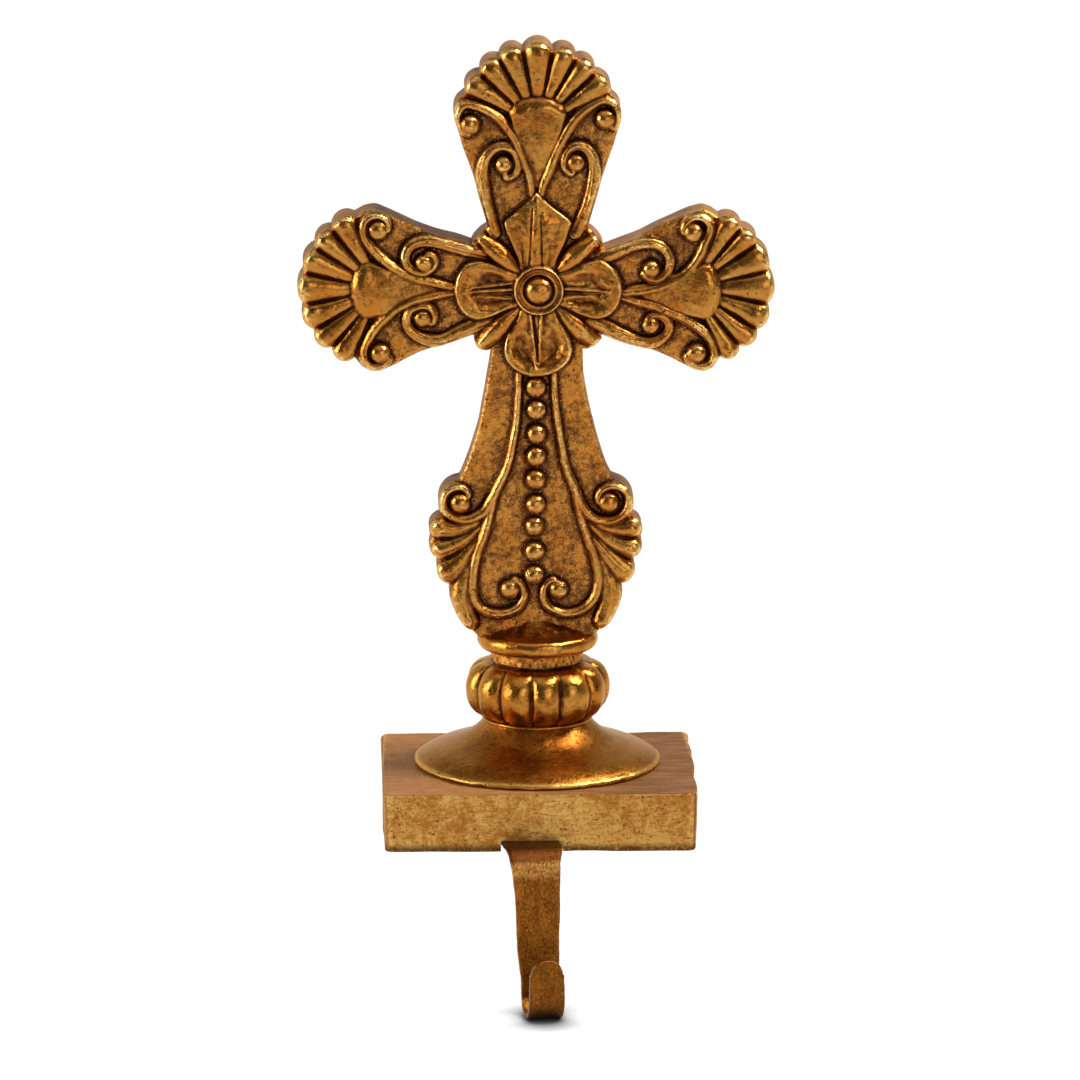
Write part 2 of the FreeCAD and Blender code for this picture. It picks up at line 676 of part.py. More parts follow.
def hook_blank(under, bottom, tip_z, saddle_y):
    """The tapered outline that the strip was cut to, as two upright prisms before and behind the saddle."""
    def prism(points, near, far):
        wire = Part.makePolygon([Vector(x, near, z) for x, z in points + points[:1]])
        return Part.Face(wire).extrude(Vector(0, far - near, 0))

    top, shank = HOOK_WIDTH / 2, SHANK_WIDTH / 2
    low, tip = SADDLE_WIDTH / 2, TIP_WIDTH / 2
    high = under + 2 * HOOK_THICKNESS
    knee = under - HOOK_BEND - 2.0
    back = [(-top, high), (top, high), (top, under), (shank, knee), (low, bottom - 1.0),
            (-low, bottom - 1.0), (-shank, knee), (-top, under)]
    tip_start = tip_z - tip
    rest = prism(back, saddle_y, TONGUE_LENGTH + 1.0)
    front = [(-low, bottom - 1.0), (-tip, tip_start), (-tip, tip_z), (tip, tip_z), (tip, tip_start), (low, bottom - 1.0)]
    depth = 2 * SADDLE_RADIUS + 4 * HOOK_THICKNESS
    leg = prism(front, saddle_y - depth, saddle_y)
    round_tip = Part.makeCylinder(tip, depth, Vector(0, saddle_y - depth, tip_start), Vector(0, 1, 0))
    below = Part.makeBox(HOOK_WIDTH, depth, tip_start - bottom + 1.0, Vector(-top, saddle_y - depth, bottom - 1.0))
    leg = leg.common(round_tip.fuse(below))
    return rest.fuse(leg)


def make_screws():
    """Two pan-head screws that hold the tongue up against the roof of the channel."""
    under = PAD_THICKNESS + CHANNEL_DEPTH - HOOK_THICKNESS
    screws = []
    for place in screw_places():
        head = Part.makeCylinder(SCREW_HEAD_DIAMETER / 2, SCREW_HEAD_HEIGHT, Vector(0, place, under - SCREW_HEAD_HEIGHT))
        shank = Part.makeCylinder(SCREW_DIAMETER / 2, SCREW_LENGTH - SCREW_END_GAP, Vector(0, place, under))
        screw = head.fuse(shank)
        for turn in (0, 90):
            slot = Part.makeBox(SCREW_HEAD_DIAMETER * 0.6, SLOT_WIDTH, SLOT_DEPTH,
                                Vector(-SCREW_HEAD_DIAMETER * 0.3, -SLOT_WIDTH / 2, under - SCREW_HEAD_HEIGHT))
            slot.rotate(Vector(), Vector(0, 0, 1), turn)
            slot.translate(Vector(0, place, 0))
            screw = screw.cut(slot)
        screws.append(hook_placed(screw))
    return Part.makeCompound(screws)


def make_pad():
    """The thin sheet under the block, cut out round the channel of the hook."""
    width, length = BLOCK_WIDTH - 2 * PAD_INSET, BLOCK_DEPTH - 2 * PAD_INSET
    sheet = Part.makeBox(width, length, PAD_THICKNESS, Vector(-width / 2, -length / 2, 0))
    corners = [edge for edge in sheet.Edges if edge.BoundBox.ZLength > PAD_THICKNESS / 2]
    sheet = sheet.makeFillet(PAD_CORNER, corners)
    return sheet.cut(hook_placed(groove(CHANNEL_CLEARANCE + PAD_CLEARANCE, 2 * PAD_THICKNESS)))


def make_casting():
    """Block, foot, knop, collar and cross as one casting, with the channel cut under it."""
    casting = make_block().fuse([make_pedestal(), make_cross()])
    return casting.cut(make_channel())


os.makedirs("parts", exist_ok=True)
nodes = dict(casting=make_casting(), hook=make_hook(), hook_screws=make_screws(), pad=make_pad())
for name, shape in nodes.items():
    print(name, "solids", len(shape.Solids), "valid", shape.isValid(), "volume", round(shape.Volume, 1))
    shape.exportStep("parts/" + name + ".step")
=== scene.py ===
import math

import bpy
import numpy as np
from mathutils import Matrix, Vector
from mathutils.geometry import delaunay_2d_cdt


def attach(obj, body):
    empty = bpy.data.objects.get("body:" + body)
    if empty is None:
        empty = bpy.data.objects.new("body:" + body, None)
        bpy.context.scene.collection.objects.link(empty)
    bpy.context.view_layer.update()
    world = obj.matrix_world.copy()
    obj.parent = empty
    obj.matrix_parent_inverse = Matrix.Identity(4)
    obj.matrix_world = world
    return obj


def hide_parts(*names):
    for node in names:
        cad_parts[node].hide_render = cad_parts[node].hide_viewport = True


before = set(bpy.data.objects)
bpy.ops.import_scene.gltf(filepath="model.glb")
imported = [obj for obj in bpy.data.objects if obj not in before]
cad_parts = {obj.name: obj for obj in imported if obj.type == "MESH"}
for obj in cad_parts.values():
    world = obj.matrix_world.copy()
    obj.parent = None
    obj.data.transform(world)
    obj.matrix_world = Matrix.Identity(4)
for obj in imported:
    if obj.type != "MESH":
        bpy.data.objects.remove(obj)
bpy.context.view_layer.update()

# Lengths are in millimetres until a mesh is made.
MM = 0.001
random = np.random.default_rng(7)

# Places shared with the solids
CROSS_Z, FACE_Y, BACK_Y, PEDESTAL_Y = 183.0, -4.0, 8.0, 2.0
BLOCK_WIDTH, BLOCK_DEPTH, BLOCK_CORNER = 102.0, 84.0, 2.8
BLOCK_BOTTOM, BLOCK_TOP = 1.0, 21.0
KNOP_MIDDLE, KNOP_HALF = 46.4, 9.0
HOOK = dict(thick=1.8, reach=14.0, bend=7.2, roof=4.7, drop=54.7, saddle=6.7, rise=21.7, tongue=30.0)
HOOK_X, HOOK_Y, HOOK_TURN = -2.65, -41.1, math.radians(8.5)
FLOOR_Z = -50.1
# Marks in the polish layer, which is 1 on smooth forms and 0 on the rough field
WALL, BLOCK_FRONT, BLOCK_REST = -1.0, 2.0, 3.0

# Grid of the carved face
STEP = 0.3
X0, X1, Y0, Y1 = -84.0, 84.0, -124.0, 88.0
grid_x = np.arange(X0, X1 + STEP / 2, STEP)
grid_y = np.arange(Y0, Y1 + STEP / 2, STEP)
GX, GY = np.meshgrid(grid_x, grid_y)
ROWS, COLS = GX.shape


def pairs(*values):
    """Points from one row of x and y values."""
    return list(zip(values[::2], values[1::2]))


def curve_through(points, spacing=0.4, closed=False):
    """A smooth line through the points (centripetal Catmull-Rom), evenly sampled."""
    p = np.asarray(points, float)
    if closed:
        p = np.vstack([p[-1], p, p[0], p[1]])
    else:
        p = np.vstack([2 * p[0] - p[1], p, 2 * p[-1] - p[-2]])
    out = []
    for a, b, c, d in zip(p, p[1:], p[2:], p[3:]):
        t1, t2, t3 = np.cumsum([max(np.linalg.norm(v - u), 1e-6) ** 0.5 for u, v in ((a, b), (b, c), (c, d))])
        t = np.linspace(t1, t2, 24, endpoint=False)[:, None]

        def blend(u, v, low, high):
            return (high - t) / (high - low) * u + (t - low) / (high - low) * v

        early, middle, late = blend(a, b, 0, t1), blend(b, c, t1, t2), blend(c, d, t2, t3)
        out.append(blend(blend(early, middle, 0, t2), blend(middle, late, t1, t3), t1, t2))
    return resample(np.vstack(out + [p[-2][None]]), spacing)


def length_along(line):
    """Distance along a line at each of its points."""
    return np.concatenate([[0], np.cumsum(np.linalg.norm(np.diff(line, axis=0), axis=1))])


def resample(line, spacing):
    """The same line with its points evenly spaced."""
    length = length_along(line)
    at = np.linspace(0, length[-1], max(int(round(length[-1] / spacing)), 2) + 1)
    return np.stack([np.interp(at, length, column) for column in line.T], axis=1)


def arc3(a, b, c, count=14):
    """Points of the circle through three points, from the first to before the last."""
    a, b, c = (np.asarray(q, float) for q in (a, b, c))
    shares = np.linspace(0, 1, count, endpoint=False)
    d = 2 * (a[0] * (b[1] - c[1]) + b[0] * (c[1] - a[1]) + c[0] * (a[1] - b[1]))
    if abs(d) < 1e-9:
        return [tuple(a + (c - a) * s) for s in shares]
    middle = np.array([a @ a * (b[1] - c[1]) + b @ b * (c[1] - a[1]) + c @ c * (a[1] - b[1]),
                       a @ a * (c[0] - b[0]) + b @ b * (a[0] - c[0]) + c @ c * (b[0] - a[0])]) / d
    radius = np.linalg.norm(a - middle)
    ta, tb, tc = (math.atan2(*(q - middle)[::-1]) for q in (a, b, c))
    span = (tc - ta) % (2 * math.pi)
    if (tb - ta) % (2 * math.pi) > span:
        span -= 2 * math.pi
    return [tuple(middle + radius * np.array([math.cos(ta + span * s), math.sin(ta + span * s)])) for s in shares]


def window(a, b, reach):
    """The slices of the grid round the step from a to b."""
    i0, j0 = (max(int((min(a[k], b[k]) - reach - low) / STEP), 0) for k, low in ((0, X0), (1, Y0)))
    i1, j1 = (min(int((max(a[k], b[k]) + reach - low) / STEP) + 2, most)
              for k, low, most in ((0, X0, COLS), (1, Y0, ROWS)))
    return slice(j0, j1), slice(i0, i1)


def nearest(line, reach):
    """Distance of each grid point from a line, where along the line that is, and on which side."""
    dist, along, side = np.full(GX.shape, 1e3), np.zeros(GX.shape), np.zeros(GX.shape)
    length = length_along(line)
    for a, b, start in zip(line, line[1:], length):
        w = window(a, b, reach)
        x, y = GX[w] - a[0], GY[w] - a[1]
        e = b - a
        t = np.clip((x * e[0] + y * e[1]) / (e @ e), 0, 1)
        d = np.hypot(x - t * e[0], y - t * e[1])
        better = d < dist[w]
        dist[w] = np.where(better, d, dist[w])
        along[w] = np.where(better, start + t * np.linalg.norm(e), along[w])
        side[w] = np.where(better, np.sign(e[0] * y - e[1] * x), side[w])
    return dist, along / length[-1], side


def inside(line):
    """True for the grid points inside a closed line."""
    x, y = line.T
    x2, y2 = np.roll(x, -1), np.roll(y, -1)
    mask = np.zeros(GX.shape, bool)
    for j, level in enumerate(grid_y):
        hit = (y > level) != (y2 > level)
        if hit.any():
            cross = np.sort(x[hit] + (level - y[hit]) / (y2[hit] - y[hit]) * (x2[hit] - x[hit]))
            mask[j] = np.searchsorted(cross, grid_x) % 2 == 1
    return mask


def depth_in(line, reach):
    """Distance inside a closed line, 0 outside it, capped at the reach."""
    closed = np.vstack([line, line[:1]]) if np.linalg.norm(line[0] - line[-1]) > 1e-6 else line
    return np.where(inside(line), np.minimum(nearest(closed, reach)[0], reach), 0.0)


def smax(a, b, k=0.3):
    """The higher of two surfaces with a small fillet between them."""
    h = np.maximum(k - np.abs(a - b), 0) / k
    return np.maximum(a, b) + h * h * k / 4


def blur(field, sigma):
    """Gaussian blur of a grid field, sigma in millimetres."""
    pad = int(4 * sigma / STEP) + 2
    f = np.pad(field, pad, mode="edge")
    ky = np.fft.fftfreq(f.shape[0], STEP)[:, None]
    kx = np.fft.rfftfreq(f.shape[1], STEP)[None]
    g = np.exp(-2 * (math.pi * sigma) ** 2 * (kx ** 2 + ky ** 2))
    return np.fft.irfft2(np.fft.rfft2(f) * g, s=f.shape)[pad:-pad, pad:-pad]


def noise_field(size):
    """Soft random unevenness of about one unit, with forms of the given size."""
    field = blur(random.standard_normal(GX.shape), size / 2.5)
    return field / field.std()


def ease(x):
    """0 up to 0, 1 from 1 on, smooth between."""
    x = np.clip(x, 0, 1)
    return x * x * (3 - 2 * x)


def round_edge(depth, radius):
    """Height of a quarter-round edge, from 0 at the edge to 1 at the radius."""
    t = np.clip(1 - depth / radius, 0, 1)
    return np.sqrt(np.maximum(1 - t * t, 0))


# Measured lines of the ornament, on the face, from the middle of the cross.
# Each fan: its centre, direction, the valleys between its lobes, and how far each lobe reaches out.
TOP = dict(fan=(0.0, 54.5), turn=90.0,
           valleys=pairs(23.9, 65.2, 19, 72.3, 12.7, 77.3, 4.9, 79.7, -4.9, 79.7, -12.7, 77.3, -18.9, 72.2,
                         -23.7, 65.6),
           reach=[27.8, 27.9, 28.2, 28.4, 28.2, 27.9, 27.8])
LEFT = dict(fan=(-51.5, 0.0), turn=180.0,
            valleys=pairs(-60.2, 24.3, -67.8, 20.3, -73.3, 14.4, -76.9, 5.9, -76.7, -4.9, -73.4, -13.4, -67.7, -19.3,
                          -60.4, -23),
            reach=[27.9, 27.7, 27.5, 27.5, 27.5, 27.6, 27.3])
RIGHT = dict(fan=(50.5, 0.0), turn=0.0,
             valleys=pairs(60.2, -23.2, 66.4, -19.4, 72.3, -14.1, 75.7, -5.5, 76, 5.7, 72.3, 14.8, 67.2, 20.3,
                           59.6, 23.4),
             reach=[27.3, 27.5, 27.5, 27.5, 27.5, 27.5, 27.5])
TOP_EDGE_RIGHT = pairs(16.6, 21, 17.9, 26, 19.4, 31, 20.8, 36, 22.8, 42, 24.9, 48, 26.3, 53, 27.4, 57.4, 27.1, 61.2,
                       25.8, 63.8)
TOP_EDGE_LEFT = pairs(-16.4, 21, -17.8, 26, -19.3, 31, -20.5, 36, -22.5, 42, -24.7, 48, -26, 53, -27.3, 57.6,
                      -27.2, 61.4, -25.8, 64.2)
LEFT_EDGE_TOP = pairs(-20.4, 14.3, -26, 16.4, -35.4, 19, -44, 22.6, -49.8, 25.4, -53.5, 26.7, -57, 26.2)
LEFT_EDGE_LOW = pairs(-20, -15, -26.1, -17, -33.6, -19.5, -39.3, -21.5, -45.9, -24.9, -49.8, -26.7, -53.8, -27.7,
                      -57.7, -26.2)
RIGHT_EDGE_TOP = pairs(21.6, 12.9, 26, 14.6, 32.6, 17, 40, 20.6, 47, 23.8, 51.4, 25.5, 54.5, 26, 57.3, 25)
RIGHT_EDGE_LOW = pairs(20.3, -15.4, 26, -17.6, 32.6, -19.4, 38.3, -21.2, 43.5, -23.4, 47.6, -25.6, 51.4, -27.3,
                       54.5, -27.9, 57.6, -26.6)
LOWER_RIGHT = pairs(14.8, -20.5, 15.2, -30, 16.6, -38, 18.8, -48, 20.8, -55, 22.8, -61, 24.4, -64.2)
LOWER_LEFT = pairs(-15, -20.5, -16.4, -30, -17.8, -38, -19.8, -48, -22, -55, -24.1, -61, -25.6, -64.2)
# Scalloped end of the lower arm on the right: joints between its bulges, the bulges' tips, and the plain end
LOWER_AXIS = -0.6
LOWER_JOINTS = pairs(24.8, -64.6, 30.2, -77, 33.6, -84.4, 31, -91.2, 27.7, -100)
LOWER_TIPS = pairs(31.4, -70.3, 34.6, -80.7, 34.4, -88, 32.1, -95.6)
LOWER_END = pairs(28, -103.5, 26.2, -109, 23.5, -113.5, 20.3, -116, 18, -118.5)
# Leaves between the arms
CORNER_TIPS = pairs(19.7, 17.4, 19.3, -18.7, -19.7, -19.5, -19.7, 17.9)
# Lines that wind round an eye, which is their last point
SIDE_SCROLLS = [
    pairs(-14.2, 19, -16.3, 26, -17.6, 31.4, -18.2, 36.8, -17.9, 42.1, -16.3, 45.3, -13.7, 47.5, -11.1, 48, -8.5, 47,
          -6.9, 44.3, -6.4, 41.6, -7.4, 38.9, -10, 37.6, -11.1, 41.9),
    pairs(12.5, 18.7, 15.2, 24, 17.3, 29.8, 18.3, 35.7, 18.6, 40.5, 17.8, 44.8, 15.7, 47.5, 13.1, 48.3, 10.4, 47,
          8.9, 44.3, 8.9, 41, 11, 39, 12.5, 42.4),
    pairs(-15.8, 11.6, -21, 12.9, -26.1, 14.3, -30.5, 15.5, -34.9, 16.4, -39.3, 16.1, -42.4, 14.3, -43.7, 11.2,
          -43.2, 8.5, -41.1, 6.5, -37.5, 5.8, -34.5, 7.6, -33.8, 10.3, -35.8, 12, -37.5, 8.9),
    pairs(-15.6, -10.2, -19.6, -11.7, -26.1, -14.6, -30.5, -16.6, -34.9, -17, -39.3, -15.7, -42.4, -13, -43.2, -9.9,
          -41.9, -6.7, -38.9, -5.4, -35.8, -5.8, -34, -8.5, -34.9, -11.2, -38, -9.6),
    pairs(16.6, 8.6, 20.7, 10.2, 25.1, 12, 30.4, 14.3, 34.8, 15.2, 39.2, 14.7, 42.2, 12.5, 43.5, 9.3, 42.7, 5.7,
          40.5, 3.5, 37, 3.1, 34.9, 5, 37.4, 6.6),
    pairs(16.6, -10.2, 20.3, -11.8, 23.8, -13.6, 28.2, -15.8, 32.6, -17.6, 37, -18.3, 40.5, -17.1, 43.1, -14.5,
          43.1, -11.3, 40.9, -9.3, 37.8, -9.1, 36, -10.8, 37.2, -12.4),
]
STEMS = [
    pairs(-1.9, 32, -2.2, 35.5, -2.9, 39, -4.8, 44.2, -6.9, 49.6, -9.5, 53.9, -12.7, 57.4, -16.9, 60.3, -21, 61.9,
          -24.2, 61.9, -26, 59.8, -26.6, 56.6, -25.3, 53.9, -22.6, 52.3, -22.2, 55.3),
    pairs(1.2, 32, 1.9, 35.3, 3.6, 39, 5.5, 44.2, 7.3, 48.5, 9.4, 52.7, 12, 56.5, 15.2, 59.8, 18.3, 61.9, 21.5, 63.2,
          24.6, 62.4, 26.2, 59.7, 26.3, 56.6, 24.8, 54.3, 22.3, 57),
    pairs(-26, 0.8, -28.8, 1.1, -34.9, 2.5, -40.2, 4, -44.6, 6.1, -48.9, 8.5, -52.5, 11.7, -55.1, 14.8, -57.3, 18.4,
          -57.3, 22, -55.1, 24.4, -52, 24.7, -49.6, 22.9, -49.5, 20.2, -52.5, 20.2),
    pairs(-26, -1, -28.8, -1.1, -34.9, -2.2, -41.1, -3.6, -45.9, -5.8, -49.8, -9, -52.9, -12.1, -55.5, -16.1,
          -57.3, -20.2, -56.8, -23.8, -54.2, -25.6, -51.1, -25.1, -49, -23, -52, -21.4),
    pairs(26.5, -1.6, 29, -1.4, 34.8, -0.8, 40, 0.4, 44.4, 2.2, 47.9, 4.4, 51.4, 8, 53.6, 11.6, 55, 15.2, 56.7, 18.8,
          56.7, 21.5, 54.5, 23.7, 51.4, 23.9, 48.4, 21.6, 47.9, 19, 51.1, 18.9),
    pairs(26.5, -2.8, 28.6, -3.2, 33, -4.6, 38.3, -5.9, 43.5, -8.2, 47.9, -10, 52.3, -12.7, 55.4, -15.4, 57.6, -18.9,
          58, -22.5, 56.7, -25.4, 53.6, -26.1, 50.6, -24.8, 49.2, -22.6, 52.4, -21.8),
]
LOWER_STEMS = [
    (3.7, pairs(-6.1, -26, -6.4, -35.4, -6.7, -40.8, -7.2, -46.2, -8.2, -51.6, -9.3, -57, -10.9, -61.9, -13, -66.2,
                -15.1, -70.5, -17.4, -74.6, -20.4, -76.9, -24.1, -77.8, -28.3, -76.7, -31, -73.7, -31, -70,
                -28.8, -67.5, -25.1, -67, -23, -69.2, -25.7, -72.2)),
    (3.8, pairs(5.2, -26, 5.5, -35.4, 6, -40.8, 6.8, -46.2, 7.6, -51.6, 8.7, -57.6, 10.2, -62.4, 12.4, -67.6,
                14.4, -72.6, 16.9, -76.3, 20.3, -78.2, 24.5, -78.4, 28.2, -76.5, 30, -73, 29.8, -69.4, 27.2, -67,
                23.2, -66.8, 20.4, -69, 20, -71.9, 23.4, -72.2)),
]
INNER_STEMS = [
    (3.6, pairs(-13.6, -68, -15.6, -74.6, -17.7, -82.8, -19.9, -88.2, -21.2, -93.7, -21.7, -99.1, -21.2, -104.5,
                -18.8, -108.1, -14.6, -109.7, -9.8, -109.4, -6.1, -107.3, -4.5, -103.5, -5.4, -99.9, -7.7, -98.4,
                -9.2, -101.6)),
    (3.5, pairs(12, -68, 13.9, -75.6, 16.6, -83.9, 18.7, -89.9, 19.8, -94.8, 20, -100.2, 18.7, -104.5, 15.5, -108.1,
                11.3, -109.7, 7.1, -109.4, 3.4, -107.3, 1.8, -103.5, 2.8, -99.9, 5.3, -98.3, 6.8, -101.6)),
]
BEADS = pairs(-0.6, -33, -0.5, -40.8, -0.4, -48.9, -0.6, -56.5, -0.8, -64.3, -0.8, -72.7, -1.1, -80.1, -1.1, -88.7,
              -1.2, -96.7)
# The petals: outline and hollow, then cups (place, length, width, tilt, depth) and ribs (ends, width, rise)
PETALS = [
    dict(turn=0, rim=3.3, floor=1,
         outline=pairs(5, 4.6, 11, 7.2, 16, 9.6, 21, 10, 25.2, 7.4, 27.6, 3, 27.9, -1, 26.8, -5.4, 24, -8.8,
                       19.6, -10.2, 14, -9, 9, -6.4, 5, -4.6),
         hollow=pairs(6, 3.4, 11, 5.6, 16, 7, 20, 5.4, 22.8, 2.2, 24.2, -0.6, 22.4, -3.6, 19.4, -6.6, 15.4, -7.6,
                      11, -6, 6, -3.8),
         cups=[(16.5, 3.6, 7, 3, 12, 0.6), (16.5, -4.2, 7.5, 3, -10, 0.8)],
         ribs=[(8.5, 0.3, 23.6, -0.6, 0.45, 1.1), (8.5, -2.8, 16.5, -2.4, 0.5, 0.6), (9, -1.2, 20.5, -1.7, 0.6, -0.5),
               (8.5, 2.2, 15, 2, 0.45, 0.4)]),
    dict(turn=180, rim=3.3, floor=1,
         outline=pairs(5, 4.6, 11, 7.4, 16, 9.6, 20.6, 10.2, 25, 7.6, 27.3, 3.2, 27.7, -0.6, 26.6, -5.4, 23.6, -9,
                       19, -10.2, 13.6, -8.8, 9, -6.6, 5, -4.6),
         hollow=pairs(6, 3.6, 11, 5.8, 15.8, 7.4, 19.8, 6.2, 22.4, 3.2, 24, 0.4, 22.6, -2.8, 19.6, -5.8, 15.4, -7,
                      11, -5.6, 6, -3.6),
         cups=[(16, 4.2, 7.5, 3, 10, 0.8), (16.5, -4, 7.5, 2.8, -12, 0.6)],
         ribs=[(8.6, -2.3, 23.8, -0.4, 0.45, 0.9), (8.6, -0.2, 24.2, 0.5, 0.45, 1), (9.5, -1.2, 21, -0.1, 0.45, -0.6),
               (9, 1.4, 21, 1.5, 0.55, -0.5), (8.6, 2.6, 17, 2.6, 0.5, 0.5)]),
    dict(turn=270, rim=3.3, floor=0.7,
         outline=pairs(5, 4.8, 10, 7.6, 15.5, 10.6, 20, 11.5, 24.5, 10.2, 27.6, 6.6, 29.3, 2, 29.4, -2, 27.6, -7,
                       24.2, -10.4, 19.6, -11.4, 15, -10.4, 10, -7.4, 5, -4.8),
         hollow=pairs(6, 3.6, 11, 5.8, 16, 8.6, 20.5, 9.3, 24, 7.2, 26.2, 3.4, 26.9, 0, 26.2, -3.4, 24, -7.2,
                      20.5, -9.2, 16, -8.4, 11, -5.8, 6, -3.6),
         cups=[(20, -4.9, 6.8, 3.8, 12, 1.2), (19.2, 5, 6.8, 4, -12, 1)],
         ribs=[(8.5, -2.4, 26.4, -0.3, 0.45, 1.1), (8.5, 1.2, 26.4, 0.3, 0.45, 1), (8.8, -1.5, 24, 0.1, 0.5, -0.7)]),
    dict(turn=90, rim=2.5, floor=0, belly=0.9, lip=0.35,
         outline=pairs(5, 5.4, 10, 6.8, 15, 9, 20, 10.8, 22.8, 11.2, 25, 9, 28.6, 4.8, 31.6, 1.7, 32.9, 0.5,
                       31.6, -1.2, 28.6, -4.4, 25.2, -8.8, 22.8, -11.3, 20, -10.6, 15, -9.2, 10, -6.8, 5, -5.4),
         hollow=None,
         cups=[(17, 5.6, 8, 2.2, 8, 0.35), (17, -5.4, 8, 2.4, -8, 0.3)],
         ribs=[(8.5, 2.8, 27.5, 1.8, 0.38, -0.75), (8.5, -1.4, 25.5, -1, 0.38, -0.7), (8.5, 0.8, 30, 0.5, 1.1, 0.35),
               (8.5, 5, 16, 5.2, 0.4, -0.35), (8.5, -3.6, 15, -4, 0.4, -0.35)]),
]
GROOVES = [-65, -36, -6.6, 20, 51, 81.5, 112, 142.5, 173, 203.5, 234, 264.5]
# Height of the cross's lower edge over the collar, across from its middle
COVE_EDGE = pairs(0, 71.6, 3.3, 70.1, 6.6, 69.2, 10.7, 68.9, 14.4, 68.4, 17.4, 67.2, 20, 66)


def lobes(arm):
    """Each lobe of a fan: its valleys, its reach, the first valley's bearing and the angle to the second."""
    cx, cy = arm["fan"]
    for a, b, reach in zip(arm["valleys"], arm["valleys"][1:], arm["reach"]):
        start, end = (math.atan2(y - cy, x - cx) for x, y in (a, b))
        yield a, b, reach, start, (end - start + math.pi) % (2 * math.pi) - math.pi


def fan_outline(arm):
    """The scalloped edge of a fan, lobe by lobe."""
    cx, cy = arm["fan"]
    line = []
    for a, b, reach, start, span in lobes(arm):
        middle = start + span / 2
        line += arc3(a, (cx + reach * math.cos(middle), cy + reach * math.sin(middle)), b)
    return line + [arm["valleys"][-1]]


def cross_outline():
    """The whole outline of the cross, anticlockwise from the right side of the top arm."""
    def smooth(points):
        return [tuple(p) for p in curve_through(points, 0.8)]

    def leaf_tip(number, before, after):
        return arc3(before, CORNER_TIPS[number], after, 10) + [after]

    def mirrored(point):
        return 2 * LOWER_AXIS - point[0], point[1]

    scallops = list(zip(LOWER_JOINTS, LOWER_TIPS, LOWER_JOINTS[1:]))
    line = smooth(TOP_EDGE_RIGHT)[:-1] + fan_outline(TOP) + smooth(TOP_EDGE_LEFT)[::-1][1:]
    line += leaf_tip(3, (-17.0, 20.0), (-21.6, 15.0))
    line += smooth(LEFT_EDGE_TOP) + fan_outline(LEFT) + smooth(LEFT_EDGE_LOW)[::-1]
    line += leaf_tip(2, (-20.9, -16.9), (-16.6, -20.9)) + smooth(LOWER_LEFT)
    for a, tip, b in scallops:
        line += arc3(mirrored(a), mirrored(tip), mirrored(b))
    line += smooth([mirrored(p) for p in [LOWER_JOINTS[-1]] + LOWER_END])
    line += smooth(LOWER_END[::-1] + [LOWER_JOINTS[-1]])
    for a, tip, b in scallops[::-1]:
        line += arc3(b, tip, a)
    line += smooth(LOWER_RIGHT[::-1]) + leaf_tip(1, (16.6, -20.6), (21.2, -17.2))
    line += smooth(RIGHT_EDGE_LOW) + fan_outline(RIGHT) + smooth(RIGHT_EDGE_TOP)[::-1]
    line += leaf_tip(0, (21.4, 14.8), (17.2, 19.6))
    clean = [line[0]]
    for p in line[1:]:
        if math.dist(p, clean[-1]) > 0.05:
            clean.append(p)
    return np.array(clean)


class Relief:
    """The height of the carved face over the plain slab, built up form by form."""

    def __init__(self):
        self.height = np.zeros(GX.shape)
        self.smooth = np.zeros(GX.shape)
        self.rough = noise_field(1.6)

    def add(self, mask, height, fillet=0.35):
        """Raises the face to a form where it is higher, with a small fillet along its foot."""
        form = np.where(mask, height, -3.0)
        self.smooth = np.where(mask & (form > self.height - 0.1), 1.0, self.smooth)
        self.height = np.where(mask, smax(self.height, form, fillet), self.height)

    def ridge(self, line, widths, heights, power=0.5, crease=0.0, at=0.42, fillet=0.3):
        """A rounded ridge along a line, with its half widths and heights spread along it."""
        dist, along, side = nearest(line, max(widths) + 0.6)
        half, rise = (np.interp(along, np.linspace(0, 1, len(row)), row) for row in (widths, heights))
        height = rise * np.maximum(1 - np.minimum(dist / half, 1) ** 2, 0) ** power
        if crease:
            height -= crease * np.exp(-((dist * side - at * half) / (0.16 * half)) ** 2)
        self.add(dist < half, height, fillet)

    def ball(self, centre, radius, middle):
        """A bead: the part of a ball that stands out of the face."""
        d2 = (GX - centre[0]) ** 2 + (GY - centre[1]) ** 2
        self.add(d2 < radius ** 2, middle + np.sqrt(np.maximum(radius ** 2 - d2, 0)), 0.25)


def on_arm(arm, points):
    """Points given along and across an arm, from the middle of its fan, as points of the face."""
    c, s = math.cos(math.radians(arm["turn"])), math.sin(math.radians(arm["turn"]))
    cx, cy = arm["fan"]
    return np.array([(cx + u * c - v * s, cy + u * s + v * c) for u, v in points])


def arm_frame(arm):
    """Distances along and across an arm for every grid point."""
    c, s = math.cos(math.radians(arm["turn"])), math.sin(math.radians(arm["turn"]))
    x, y = GX - arm["fan"][0], GY - arm["fan"][1]
    return x * c + y * s, -x * s + y * c


